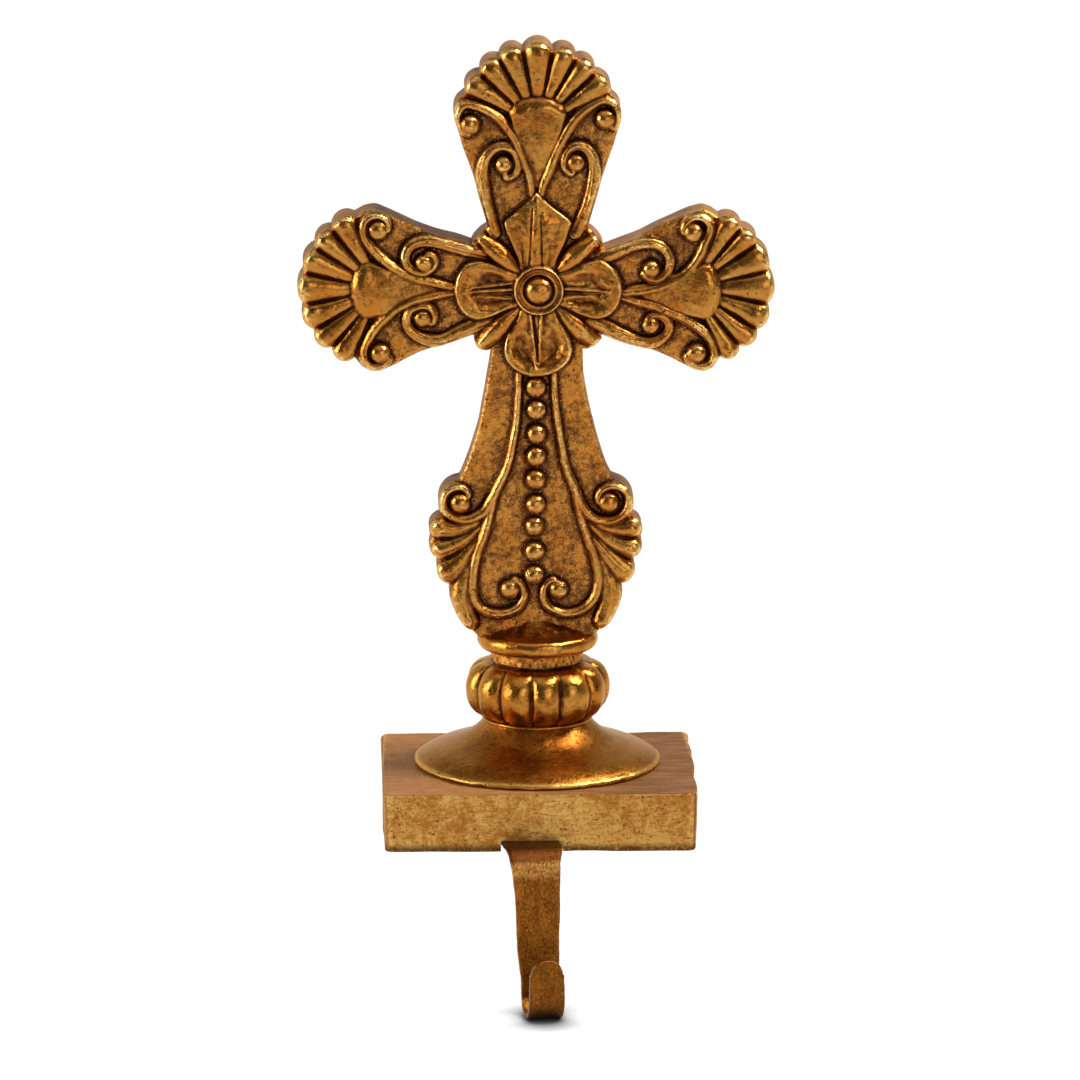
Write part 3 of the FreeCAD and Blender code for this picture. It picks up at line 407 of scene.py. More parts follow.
def carve_fan(relief, arm, edge_depth):
    """The seven full lobes of a fan, side by side, with narrow grooves between them."""
    x, y = GX - arm["fan"][0], GY - arm["fan"][1]
    ring, bearing = np.hypot(x, y), np.arctan2(y, x)
    rise = np.interp(ring, [8.0, 12.0, 18.0, 24.0], [1.3, 2.1, 3.0, 3.5])
    for number, (_, _, _, start, span) in enumerate(lobes(arm)):
        turn = (bearing - start - span / 2 + math.pi) % (2 * math.pi) - math.pi
        half = np.maximum(ring * abs(span) / 2, 0.1)
        gap = (1 - np.abs(turn) / (abs(span) / 2)) * half
        across = round_edge(gap, 0.95 * half)
        facet = 0.10 * np.sin(3.0 * turn / abs(span) + number)
        height = 0.45 + (rise + facet - 0.45) * across * (0.22 + 0.78 * round_edge(edge_depth, 3.8))
        relief.add((gap > 0) & (ring > 8.5) & (edge_depth > 0), height, 0.12)


def carve_shield(relief, arm, tip, slant=0.0):
    """The smooth shield inside a fan, pointed towards the middle of the cross, with a rolled upper edge."""
    half = pairs(-12.0, 3.9, -6.0, 6.3, 0.0, 8.7, 4.2, 10.6, 6.4, 10.3, 8.6, 8.0, 10.0, 4.4)
    points = [(tip, 0.0)] + [(u, v + slant) for u, v in half] + [(10.5, slant)]
    points += [(u, slant - v) for u, v in half[::-1]]
    depth = depth_in(curve_through(on_arm(arm, points), closed=True), 12.0)
    u, v = arm_frame(arm)
    swell = ease((u - tip) / (8.0 - tip))
    radius = 1.0 + 4.4 * ease((u + 1.0) / 9.0)
    height = (1.3 + 2.7 * swell) * round_edge(depth, radius) ** 0.9 + 0.25 * ease(depth / 5.0) - 0.014 * v * v * swell
    height -= 0.30 * np.exp(-((u - 1.0) / 5.0) ** 2) * ease(depth / 4.0)
    relief.add(depth > 0, height, 0.15)


def carve_petal(relief, turn, outline, rim, hollow, floor, cups, ribs, belly=0.0, lip=0.0):
    """A petal: a smooth band round its end, a sunk middle with two cups, and ribs that run from the boss."""
    arm = dict(fan=(0.0, 0.0), turn=turn)
    depth = depth_in(curve_through(on_arm(arm, outline), closed=True), 12.0)
    u, v = arm_frame(arm)
    height = rim * round_edge(depth, 1.3) ** 0.8 + 0.03 * np.maximum(u - 12.0, 0) + belly * ease(depth / 6.5)
    if hollow:
        sunk = depth_in(curve_through(on_arm(arm, hollow), closed=True), 5.0)
        height -= 1.3 * floor * ease(sunk / 3.4)
    for u0, v0, long, wide, tilt, amount in cups:
        c, s = math.cos(math.radians(tilt)), math.sin(math.radians(tilt))
        a, b = (u - u0) * c + (v - v0) * s, (v - v0) * c - (u - u0) * s
        height -= amount * np.maximum(1 - (a / long) ** 2 - (b / wide) ** 2, 0) ** 1.2
    for u0, v0, u1, v1, width, rise in ribs:
        dist, along, _ = nearest(on_arm(arm, [(u0, v0), ((u0 + u1) / 2, (v0 + v1) / 2), (u1, v1)]), 3.0)
        height += rise * np.exp(-(dist / width) ** 2) * (1 - 0.4 * along)
    height += 0.06 * relief.rough * ease(depth / 4.0)
    height += lip * np.exp(-((depth - 0.55) / 0.35) ** 2) * ease((u - 16.0) / 5.0)
    relief.add(depth > 0, height, 0.15)


def carve_cross(edge_depth):
    """Height of the whole face, and where its forms are smooth."""
    relief = Relief()
    relief.height += 0.10 * noise_field(5.0) + 0.08 * noise_field(1.5)
    for arm in (TOP, LEFT, RIGHT):
        carve_fan(relief, arm, edge_depth)
    carve_shield(relief, TOP, -21.0)
    carve_shield(relief, LEFT, -23.4, 0.2)
    carve_shield(relief, RIGHT, -22.0, -1.2)

    # scrolls at the sides of the three arms, and long stems from the flower to the outer scrolls
    for line in SIDE_SCROLLS:
        relief.ridge(curve_through(line), [2.5, 2.7, 2.6, 2.3, 2.1, 1.95, 1.7, 1.3],
                     [2.0, 2.5, 2.8, 3.0, 3.0, 2.9, 2.6], crease=0.35)
        relief.ball(line[-1], 3.25, 0.5)
    for line in STEMS:
        relief.ridge(curve_through(line), [1.5, 1.9, 2.1, 2.15, 2.05, 1.9, 1.7, 1.4],
                     [2.2, 2.8, 3.1, 3.2, 3.3, 3.2, 3.0, 2.6], crease=0.22, at=-0.5)
        relief.ball(line[-1], 3.7, 0.4)

    # side sprays of the lower arm, with a small leaf by the last bulge
    spray = [
        ([0.8, 1.8, 2.9, 3.8], pairs(15, -75.6, 21, -79.6, 27, -81, 31.4, -80.8)),
        ([0.8, 1.7, 2.7, 3.6], pairs(14.8, -76.6, 20, -81.6, 26, -86, 31.2, -88)),
        ([0.8, 1.9, 3, 4.3], pairs(15.2, -78, 19, -84.2, 23.8, -90.4, 28.8, -95.6)),
        ([0.8, 2, 3.1, 3.8, 3.4], pairs(16.6, -80, 20.2, -88.4, 23.2, -97, 24.6, -104.6, 22, -112.4)),
    ]
    for side in (-1, 1):
        def lower(points):
            return curve_through([(LOWER_AXIS + side * x, y) for x, y in points])

        for widths, points in spray:
            relief.ridge(lower(points), widths, [1.2, 2.1, 2.8, 3.2], power=0.6, crease=0.25, fillet=0.15)
        relief.ridge(lower(pairs(21.6, -99.0, 22.6, -106.0, 20.4, -113.4)), [1.0, 1.5, 1.3], [1.2, 1.9, 1.2],
                     power=0.6, fillet=0.15)
    outer = [1.4, 1.5, 1.6, 1.8, 2.1, 2.0, 1.75, 1.4], [2.1, 2.5, 2.8, 3.0, 3.1, 3.1, 3.0, 2.6]
    inner = [1.4, 1.8, 2.0, 2.05, 2.0, 1.9, 1.7, 1.4], [2.6, 3.0, 3.1, 3.1, 3.1, 3.0, 2.9, 2.6]
    for stems, (widths, heights) in ((LOWER_STEMS, outer), (INNER_STEMS, inner)):
        for radius, line in stems:
            relief.ball(line[-1], radius, 0.4)
            relief.ridge(curve_through(line), widths, heights, crease=0.22, at=-0.5)
    for x, y in BEADS:
        relief.ball((x, y), 3.5 + 0.08 * math.sin(7 * y), 0.6)

    # small leaves between the arms, then the flower
    for number, (x, y) in enumerate(CORNER_TIPS):
        reach = math.hypot(x, y)
        line = curve_through([(x / reach * r, y / reach * r) for r in (8.0, 12.0, 16.0, 20.0, reach - 1.9)])
        relief.ridge(line, [1.5, 3.2, 4.1, 4.0, 2.7], [2.4, 3.4, 3.9, 3.7, 2.8], power=0.7, crease=0.3,
                     at=0.7 if number % 2 else -0.7, fillet=0.1)
    for petal in PETALS:
        carve_petal(relief, **petal)
    r = np.hypot(GX - 0.3, GY)
    turned = np.interp(r, [4.7, 5.1, 5.5, 6.1, 7.0, 7.5, 7.9, 8.15, 8.35],
                       [2.4, 3.3, 3.8, 3.45, 3.6, 4.1, 4.6, 4.2, 2.4])
    relief.add(r < 8.35, turned, 0.2)
    relief.height = np.where(r < 8.2, turned, relief.height)
    relief.add(r < 4.65, 3.0 + 0.82 * np.sqrt(np.maximum(4.65 ** 2 - r * r, 0)), 0.12)

    # hand-worked unevenness, then a rounded edge round the whole face
    uneven = 0.11 * noise_field(5.0) + 0.05 * noise_field(2.2)
    height = blur(relief.height + np.where(relief.smooth > 0.5, uneven, 0.3 * uneven), 0.16)
    return height - 1.1 * (1 - round_edge(edge_depth, 1.3)), relief.smooth


def sample(field, points):
    """Values of a grid field at points of the face, by bilinear interpolation."""
    fx = np.clip((points[:, 0] - X0) / STEP, 0, COLS - 1.001)
    fy = np.clip((points[:, 1] - Y0) / STEP, 0, ROWS - 1.001)
    i, j = fx.astype(int), fy.astype(int)
    u, v = fx - i, fy - j
    return ((field[j, i] * (1 - u) + field[j, i + 1] * u) * (1 - v)
            + (field[j + 1, i] * (1 - u) + field[j + 1, i + 1] * u) * v)


def values_of(items, name, width, kind=float):
    """One attribute of all the items of a mesh, with one row for each item."""
    out = np.zeros(len(items) * width, kind)
    items.foreach_get(name, out)
    return out.reshape(-1, width)


def link(name, data):
    """A new object in the scene."""
    thing = bpy.data.objects.new(name, data)
    bpy.context.scene.collection.objects.link(thing)
    return thing


def make_object(name, vertices, faces, polish, tone=0.5, node="casting"):
    """A mesh piece from vertices in millimetres, riding on the root and standing for a CAD node."""
    mesh = bpy.data.meshes.new(name)
    mesh.from_pydata((np.asarray(vertices) * MM).tolist(), [], [tuple(int(k) for k in f) for f in faces])
    mesh.validate()
    mesh.polygons.foreach_set("use_smooth", [True] * len(mesh.polygons))
    for label, values in (("tone", tone), ("polish", polish)):
        row = np.full(len(vertices), values, np.float32)
        mesh.attributes.new(label, "FLOAT", "POINT").data.foreach_set("value", row)
    mesh.update()
    piece = link(name, mesh)
    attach(piece, "root")
    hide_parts(node)
    return piece


def triangulate(outline, inner):
    """Triangles over a closed outline and the points inside it, and where the outline's points went."""
    n = len(outline)
    points = [Vector(p) for p in np.vstack([outline, inner]).tolist()]
    verts, _, faces, origin, _, _ = delaunay_2d_cdt(points, [(k, (k + 1) % n) for k in range(n)], [], 1, 1e-6)
    back = {k: new for new, old in enumerate(origin) for k in old if k < n}
    return np.array([tuple(v) for v in verts]), [tuple(f) for f in faces], np.array([back[k] for k in range(n)])


def quads_between(rows, n, outward=True):
    """Quads between rows of n points that each close to a ring."""
    faces = []
    for j in range(rows - 1):
        for k in range(n):
            a, b = j * n + k, j * n + (k + 1) % n
            faces.append((a, b, b + n, a + n) if outward else (a, a + n, b + n, b))
    return faces


def wave_along(count, waves, amount):
    """A closed random wave along an outline."""
    t = np.linspace(0, 2 * math.pi, count, endpoint=False)
    total = np.zeros(count)
    for k in range(3, waves):
        total += random.standard_normal() * np.cos(k * t + random.uniform(0, 6.28))
    return total / max(total.std(), 1e-9) * amount


def lump(x, y, z, seed, size):
    """Soft unevenness of about one unit at places in millimetres."""
    rng = np.random.default_rng(seed)
    total = np.zeros(np.shape(x))
    for _ in range(14):
        d = rng.standard_normal(3)
        d /= np.linalg.norm(d)
        f = 2 * math.pi / size * rng.uniform(0.5, 1.6)
        total += np.sin(f * (d[0] * x + d[1] * y + d[2] * z) + rng.uniform(0, 6.28))
    return total / 2.6


def tone_from_shape(piece, rounds, gain):
    """Fills the tone layer from the shape: above 0.5 on crests and below it in hollows."""
    mesh = piece.data
    n = len(mesh.vertices)
    co = values_of(mesh.vertices, "co", 3) / MM
    a, b = values_of(mesh.edges, "vertices", 2, np.int64).T
    count = np.bincount(a, minlength=n) + np.bincount(b, minlength=n)

    def mean_beside(values):
        return (np.bincount(a, values[b], n) + np.bincount(b, values[a], n)) / count

    moved = co.copy()
    for _ in range(rounds):
        moved = 0.4 * moved + 0.6 * np.stack([mean_beside(column) for column in moved.T], axis=1)
    proud = ((co - moved) * values_of(mesh.vertices, "normal", 3)).sum(axis=1)
    for _ in range(2):
        proud = 0.5 * proud + 0.5 * mean_beside(proud)
    mesh.attributes["tone"].data.foreach_set("value", np.clip(0.5 + gain * proud, 0, 1).astype(np.float32))


def build_cross():
    """The carved face on a fine mesh, the walls and the plain back, in one closed skin."""
    outline = cross_outline()
    outline = resample(np.vstack([outline, outline[:1]]), 0.4)[:-1]
    edge_depth = depth_in(outline, 6.0)
    height, smooth = carve_cross(edge_depth)
    solid = np.where(edge_depth > 0, height, -2.2)
    detail = blur(np.abs(height - blur(height, 0.5)), 0.3)
    fine, broad = solid - blur(solid, 0.6), solid - blur(solid, 2.2)
    tone = np.clip(0.5 + np.where(fine > 0, 0.65, 1.35) * fine + 0.09 * broad, 0, 1)
    col, row = np.meshgrid(np.arange(COLS), np.arange(ROWS))

    def every(step):
        return (col % step == 0) & (row % step == 0)

    keep = (every(4) | every(2) & (detail > 0.012) | (detail > 0.035)) & (edge_depth > 0.28)
    flat, front_faces, rim = triangulate(outline, np.stack([GX[keep], GY[keep]], axis=1))
    layers = []

    def add_layer(plan, y, tone, polish):
        """Points of the face at a depth, with tone and polish; gives the number of the first."""
        layers.append(np.stack(np.broadcast_arrays(plan[:, 0], y, CROSS_Z + plan[:, 1], tone, polish), axis=1))
        return sum(map(len, layers)) - len(plan)

    # front, drawn in a little round its rim
    n = len(outline)
    along = np.roll(outline, -1, axis=0) - np.roll(outline, 1, axis=0)
    normal = np.stack([along[:, 1], -along[:, 0]], axis=1) / np.linalg.norm(along, axis=1)[:, None]
    h, tones = sample(height, flat), sample(tone, flat)
    h[rim] = sample(height, outline - 0.3 * normal) - 0.35
    tones[rim] = 0.72
    add_layer(flat, FACE_Y - h, tones, sample(smooth, flat))
    faces = [f[::-1] for f in front_faces]

    # walls: rings from the rim to the back, rough as cast, drawn in at the back edge
    rough_a, rough_b = wave_along(n, 160, 0.10), wave_along(n, 90, 0.14)
    previous, front_y = rim, FACE_Y - h[rim]
    for share, inset in ((0.03, 0), (0.1, 0), (0.28, 0), (0.5, 0), (0.72, 0), (0.9, 0), (0.97, 0.25), (1.0, 0.9)):
        swell = (rough_a * (1 - share) + rough_b * share) * math.sin(math.pi * min(share, 0.9)) + 0.06
        ring = outline + normal * (swell - inset)[:, None]
        current = add_layer(ring, front_y + (BACK_Y - front_y) * share, 0.5, WALL) + np.arange(n)
        for k in range(n):
            m = (k + 1) % n
            faces += [(previous[k], previous[m], current[m]), (previous[k], current[m], current[k])]
        previous = current

    # back: flat, with soft hollows
    sparse = every(10) & (edge_depth > 1.8)
    flat, back_faces, rim = triangulate(ring, np.stack([GX[sparse], GY[sparse]], axis=1))
    place = np.full(len(flat), -1)
    place[rim] = previous
    free = np.where(place < 0)[0]
    y = BACK_Y - 0.12 - 0.10 * np.clip(sample(noise_field(9.0), flat[free]), -1.5, 1)
    place[free] = add_layer(flat[free], y, 0.5, WALL) + np.arange(len(free))
    faces += [tuple(place[list(f)]) for f in back_faces]
    layers = np.vstack(layers)
    return make_object("cross", layers[:, :3], faces, layers[:, 4], layers[:, 3])


def build_pedestal():
    """Foot, necks, gadrooned knop and collar, turned round the Z axis, with the cove up to the cross."""
    foot = pairs(39.4, 20.6, 39.8, 21, 40.6, 21.35, 41, 21.8, 41.05, 22.3, 40.6, 22.75, 39.6, 23.4, 38, 24.4,
                 35, 25.9, 31, 27.3, 27, 28.8, 23.4, 30.6, 20.6, 32.7, 18.8, 34.6, 18, 35.7)
    ring = pairs(17.9, 35.8, 18.35, 36.1, 18.45, 36.5, 18.2, 36.9, 17.4, 37.2)
    knop = np.array([(15.8 + 8.3 * math.cos(a) ** 0.8, KNOP_MIDDLE + KNOP_HALF * math.sin(a))
                     for a in map(math.radians, np.linspace(-80, 84, 30))])
    collar = pairs(15, 55.5, 15.25, 56.3, 15.3, 57.6, 15.2, 59, 15.2, 60, 16.6, 60.2, 18.2, 60.5, 19.4, 61.3,
                   20, 62.5, 20, 63.8, 19.5, 65, 18.6, 65.75, 17.7, 65.6, 17, 65.1)
    line = np.vstack([curve_through(foot, 0.5), curve_through(ring, 0.25), resample(knop, 0.42),
                      curve_through(collar, 0.4)])
    # where each bearing lies across its gadroon, from -1 to 1
    n = 300
    theta = np.radians(np.linspace(0, 360, n, endpoint=False))
    bearing = (np.degrees(theta) + 90) % 360
    grooves = np.sort(np.mod(GROOVES, 360))
    lobe = np.searchsorted(grooves, bearing, side="right") % len(grooves)
    off = 2 * ((bearing - grooves[lobe - 1]) % 360) / ((grooves[lobe] - grooves[lobe - 1]) % 360) - 1
    bulge = 0.25 * np.sin(lobe * 2.4)
    rim_out, rim_up, band_wave = wave_along(n, 70, 0.12), wave_along(n, 60, 0.10), wave_along(n, 50, 0.16)
    # a ring of vertices at each point of the profile, with the gadroons, a wavy neck and an irregular rim
    rows = []
    for r, z in line:
        radius, level = np.full(n, r), np.full(n, z)
        if 37.3 < z < 55.45 and r > 15.4:
            share = max(1 - ((z - KNOP_MIDDLE) / KNOP_HALF) ** 2, 0) ** 0.5
            radius -= (3.9 * (1 - np.sqrt(1 - 0.97 * off ** 2)) - bulge) * (0.40 + 0.60 * share)
        if r < 15.8:
            radius += band_wave * math.sin(1.3 * z)
        if z < 23.6:
            near_rim = max(1 - abs(z - 22.0) / 1.6, 0)
            radius = np.minimum(radius + rim_out * near_rim - 0.1, 40.9)
            level += rim_up * near_rim
        rows.append(np.stack([radius * np.cos(theta), PEDESTAL_Y + radius * np.sin(theta), level], axis=1))
    # the cove, from the round collar up to the flat lower edge of the cross
    edge_x, edge_z = np.array(COVE_EDGE).T
    lumps = wave_along(n, 24, 0.10)
    for s in np.linspace(0, 1, 24)[1:]:
        x, y = (17.0 - 0.4 * s) * np.cos(theta), (17.0 * (1 - s) + 5.2 * s) * np.sin(theta)
        top = sum(np.interp(np.abs(x + d), edge_x, edge_z) for d in (-2.4, -1.2, 0, 1.2, 2.4)) / 5 + 0.6 + 2 * lumps
        level = 65.1 + (top - 65.1) * (0.25 * s + 0.75 * s * s) + 0.5 * lumps * math.sin(math.pi * s)
        rows.append(np.stack([x, PEDESTAL_Y + y, level], axis=1))
    vertices = np.vstack(rows)
    uneven = 0.09 * lump(*vertices.T, 11, 9.0) * ease((vertices[:, 2] - 36.5) / 2.0)
    theta = np.tile(theta, len(rows))
    vertices[:, :2] += np.stack([uneven * np.cos(theta), uneven * np.sin(theta)], axis=1)
    # the foot's underside is one face, the top strips from side to side
    last = (len(rows) - 1) * n
    faces = quads_between(len(rows), n) + [tuple(range(n))[::-1], (last, last + 1, last + n - 1)]
    faces += [(last + k, last + k + 1, last + n - k - 1, last + n - k) for k in range(1, n // 2 - 1)]
    faces.append((last + n // 2 - 1, last + n // 2, last + n // 2 + 1))
    piece = make_object("pedestal", vertices, faces, 1.0)
    tone_from_shape(piece, 7, 1.15)
    return piece


def at_hook(x, y):
    """Places given along and across the hook's strip, as places on the block."""
    c, s = math.cos(HOOK_TURN), math.sin(HOOK_TURN)
    return HOOK_X + x * c - y * s, HOOK_Y + x * s + y * c


def build_block():
    """The rectangular block, hand-finished, with its channel for the hook."""
    height, corner = BLOCK_TOP - BLOCK_BOTTOM, BLOCK_CORNER

    def spread(length, spacing):
        """Places along a side, close together towards its ends."""
        near = np.array([0.0, 0.06, 0.16, 0.32, 0.5, 0.8, 1.3, 2.0])
        inner = np.linspace(-length / 2 + corner, length / 2 - corner, max(int(length / spacing), 4))
        return np.concatenate([-length / 2 + near, inner, length / 2 - near[::-1]])

    xs, ys, zs = spread(BLOCK_WIDTH, 0.9), spread(BLOCK_DEPTH, 1.0), spread(height, 0.9)
    found, faces = {}, []

    def vertex(*place):
        """Number of the vertex at a place; places that two grids share become one vertex."""
        return found.setdefault(tuple(round(c, 4) for c in place), (len(found), place))[0]

    def patch(us, vs, place):
        grid = [[vertex(*place(u, v)) for v in vs] for u in us]
        for left, right in zip(grid, grid[1:]):
            faces.extend(zip(left, right, right[1:], left[1:]))

    w, d, h = BLOCK_WIDTH / 2, BLOCK_DEPTH / 2, height / 2
    patch(xs, ys, lambda u, v: (u, v, h))
    patch(ys, xs, lambda u, v: (v, u, -h))
    patch(xs, zs, lambda u, v: (u, -d, v))
    patch(zs, xs, lambda u, v: (v, d, u))
    patch(ys, zs, lambda u, v: (w, u, v))
    patch(zs, ys, lambda u, v: (-w, v, u))
    p = np.array([place for _, place in found.values()])

    # round upright corners: square rings about the corner's centre become round ones
    plan = p[:, :2]
    core = np.clip(plan, [-w + corner, -d + corner], [w - corner, d - corner])
    out = plan - core
    longest = np.abs(out).max(axis=1)
    direction = out / np.maximum(np.linalg.norm(out, axis=1), 1e-9)[:, None]
    inset = corner - longest
    # small round edges along the top and the underside, softer towards the back
    edge = 0.6 + 1.6 * ease((p[:, 1] + 10.0) / 50.0)
    drop = h - np.abs(p[:, 2])
    a, b = np.minimum(inset - edge, 0), np.minimum(drop - edge, 0)
    size = np.maximum(np.hypot(a, b), 1e-9)
    at_edge = (a < 0) & (b < 0)
    new_inset, new_drop = (np.where(at_edge, edge + part / size * edge, old)
                           for part, old in ((a, inset), (b, drop)))
    x, y = (core + direction * np.maximum(corner - new_inset, 0)[:, None]).T
    z = np.sign(p[:, 2]) * (h - new_drop)
    # a little draft, and the unevenness of hand work
    draft = 0.7 * (h - z) / height - 0.9
    x, y = x * (1 - draft / w), y * (1 - (draft + 0.95) / d)
    amount = 0.16 * lump(x, y, z, 5, 30.0) + 0.02 * lump(x, y, z, 6, 7.0) - 0.05
    front = (inset < 0.3) & (direction[:, 1] < -0.75) & (np.abs(z) < h - 0.25)
    side = np.where(inset < 0.5, amount, 0.0)
    z = z + np.where(drop < 0.5, np.sign(z), 0) * np.minimum(amount, 0) + BLOCK_BOTTOM + h
    p = np.stack([x + side * direction[:, 0], y + side * direction[:, 1], np.maximum(z, BLOCK_BOTTOM)], axis=1)
    piece = make_object("block", p, faces, np.where(front, BLOCK_FRONT, BLOCK_REST))

    # channel for the hook
    half, roof, near, far, cut = 17.9 / 2 + 1.25, 1.0 + 3.7, -16.0, 32.0, 3.0
    ring = pairs(-half, near, half, near, half, far - cut, half - cut, far, cut - half, far, -half, far - cut)
    k = len(ring)
    cutter_mesh = bpy.data.meshes.new("groove")
    cutter_mesh.from_pydata([(x * MM, y * MM, z * MM) for z in (-1.0, roof) for x, y in (at_hook(*q) for q in ring)],
                            [], [tuple(range(k))[::-1], tuple(range(k, 2 * k))] + quads_between(2, k))
    cutter = link("groove", cutter_mesh)
    boolean = piece.modifiers.new("cut", "BOOLEAN")
    boolean.operation, boolean.solver, boolean.object = "DIFFERENCE", "EXACT", cutter
    bpy.context.view_layer.update()
    result = bpy.data.meshes.new_from_object(piece.evaluated_get(bpy.context.evaluated_depsgraph_get()))
    piece.modifiers.clear()
    piece.data = result
    bpy.data.objects.remove(cutter)
    result.polygons.foreach_set("use_smooth", [True] * len(result.polygons))
    tone_from_shape(piece, 6, 2.2)
    return piece


def hook_path():
    """Middle line of the strip, from the tongue's end to the tip of the upturned leg, as (y, z)."""
    half = HOOK["thick"] / 2
    top, bottom = HOOK["roof"] - half, HOOK["roof"] - HOOK["drop"]
    x, low = half - HOOK["reach"], bottom + 2 * half + HOOK["saddle"]
    radius, bowl = HOOK["bend"] + half, HOOK["saddle"] + half
    knee_y, knee_z = x + radius, top - radius
    points = [(y, top) for y in np.linspace(HOOK["tongue"], knee_y, 30)[:-1]]
    points += [(knee_y - radius * math.sin(a), knee_z + radius * math.cos(a))
               for a in np.linspace(0, math.pi / 2, 22)]
    points += [(x, z) for z in np.linspace(knee_z, low, 60)[1:-1]]
    points += [(x - bowl + bowl * math.cos(a), low - bowl * math.sin(a)) for a in np.linspace(0, math.pi, 40)]
    return np.array(points + [(x - 2 * bowl, z) for z in np.linspace(low, bottom + HOOK["rise"], 30)[1:]])


def build_hook():
    """The bent strip: a flat section with round edges, swept along its path, tapered and a little uneven."""
    path = resample(hook_path(), 0.45)
    n, z = len(path), path[:, 1]
    ahead = np.gradient(path, axis=0)
    ahead /= np.linalg.norm(ahead, axis=1)[:, None]
    across = np.stack([-ahead[:, 1], ahead[:, 0]], axis=1)
    # half widths to the left and to the right of the middle line, by height
    leg = np.interp(z, [-50.0, HOOK["roof"] - HOOK["drop"] + HOOK["rise"] - 5.3], [5.7, 5.4])
    left = np.interp(z, [-50.0, -38.4, -26.2, -12.9, -6.0, -0.3, 3.8], [5.7, 6.1, 7.1, 7.75, 8.2, 8.95, 9.5])
    right = np.interp(z, [-50.0, -38.4, -12.9, -0.3, 2.0, 3.8], [5.7, 6.4, 6.5, 6.8, 7.7, 8.5])
    left, right = (np.where(path[:, 0] < -21.6, leg, side) for side in (left, right))
    half, shift = (left + right) / 2 + 0.3, (right - left) / 2
    # the round tip of the leg, and the small round end of the tongue
    start = length_along(path)
    end = start[-1] - start
    half = np.where(end < 5.3, np.sqrt(np.maximum(5.3 ** 2 - (5.3 - end) ** 2, 0.16)), half)
    half = np.where(start < 2.0, half - 2.0 + np.sqrt(np.maximum(4 - (2 - start) ** 2, 0)), half)
    uneven = [np.convolve(random.standard_normal(n + 20), np.ones(21) / 21, "valid")[:n] * 0.4 for _ in range(2)]
    vertices = []
    for k in range(n):
        w = half[k]
        thick = min(HOOK["thick"] / 2, w)
        rr = min(0.45, w * 0.5)

        def corner(side, face, *angles):
            return [(side * (w - rr) + rr * math.cos(a), face * (thick - rr) + rr * math.sin(a))
                    for a in map(math.radians, angles)]

        inner = (w - rr) * np.linspace(-1, 1, 15)
        section = [(u, thick) for u in inner] + corner(1, 1, 60, 30, 0) + corner(1, -1, 0, -30, -60)
        section += [(u, -thick) for u in inner[::-1]]
        section += corner(-1, -1, -120, -150, -180) + corner(-1, 1, 180, 150, 120)
        for u, v in section:
            y, level = path[k] + across[k] * v
            vertices.append((*at_hook(u + uneven[int(u >= 0)][k] + shift[k], y), level))
    size = len(section)
    faces = quads_between(n, size, outward=False)
    faces += [tuple(range(size)), tuple(range((n - 1) * size, n * size))[::-1]]
    piece = make_object("hook_strip", vertices, faces, 0.0, 0.5, "hook")
    tone_from_shape(piece, 6, 3.0)
    return piece


class Value:
    """A value in a node tree; arithmetic with it adds nodes."""

    def __init__(self, nodes, socket):
        self.nodes, self.socket = nodes, socket

    def __add__(self, other):
        return self.nodes.math("ADD", self, other)

    def __sub__(self, other):
        return self.nodes.math("SUBTRACT", self, other)

    def __rsub__(self, other):
        return self.nodes.math("SUBTRACT", other, self)

    def __mul__(self, other):
        return self.nodes.math("MULTIPLY", self, other)

    __radd__, __rmul__ = __add__, __mul__

    def most(self, other):
        return self.nodes.math("MAXIMUM", self, other)

    def ramp(self, low, high):
        """0 at low and 1 at high, smooth between; high may be the smaller number."""
        inputs = {"Value": self, "From Min": low, "From Max": high}
        return self.nodes.add("ShaderNodeMapRange", "Result", inputs, interpolation_type="SMOOTHSTEP")


class Nodes:
    """A short way to write a node tree."""

    def __init__(self, tree):
        self.tree = tree
        tree.nodes.clear()

    def add(self, kind, output=None, inputs=None, **settings):
        """A new node, or the value of one of its outputs."""
        node = self.tree.nodes.new(kind)
        for name, setting in settings.items():
            setattr(node, name, setting)
        for name, value in (inputs or {}).items():
            self.link(value, node.inputs[name])
        return node if output is None else Value(self, node.outputs[output])

    def link(self, value, socket):
        """Feeds a socket from a value, or sets it to a number, a vector or a colour."""
        if isinstance(value, Value):
            self.tree.links.new(value.socket, socket)
        else:
            socket.default_value = (*value, 1.0) if socket.type == "RGBA" else value

    def math(self, operation, a, b, clamp=False):
        return self.add("ShaderNodeMath", 0, {0: a, 1: b}, operation=operation, use_clamp=clamp)

    def mix(self, share, a, b):
        """From colour a to colour b by the share."""
        return self.add("ShaderNodeMix", "Result", {"Factor": share, "A": a, "B": b}, data_type="RGBA")

    def paint(self, colour, *coats):
        """A colour with others over it, each by its share."""
        for share, over in coats:
            colour = self.mix(share, colour, over)
        return colour

    def blend(self, share, a, b):
        """From shader a to shader b by the share."""
        return self.add("ShaderNodeMixShader", 0, {0: share, 1: a, 2: b})

    def axes(self, vector):
        split = self.add("ShaderNodeSeparateXYZ", inputs={0: vector})
        return [Value(self, split.outputs[k]) for k in range(3)]


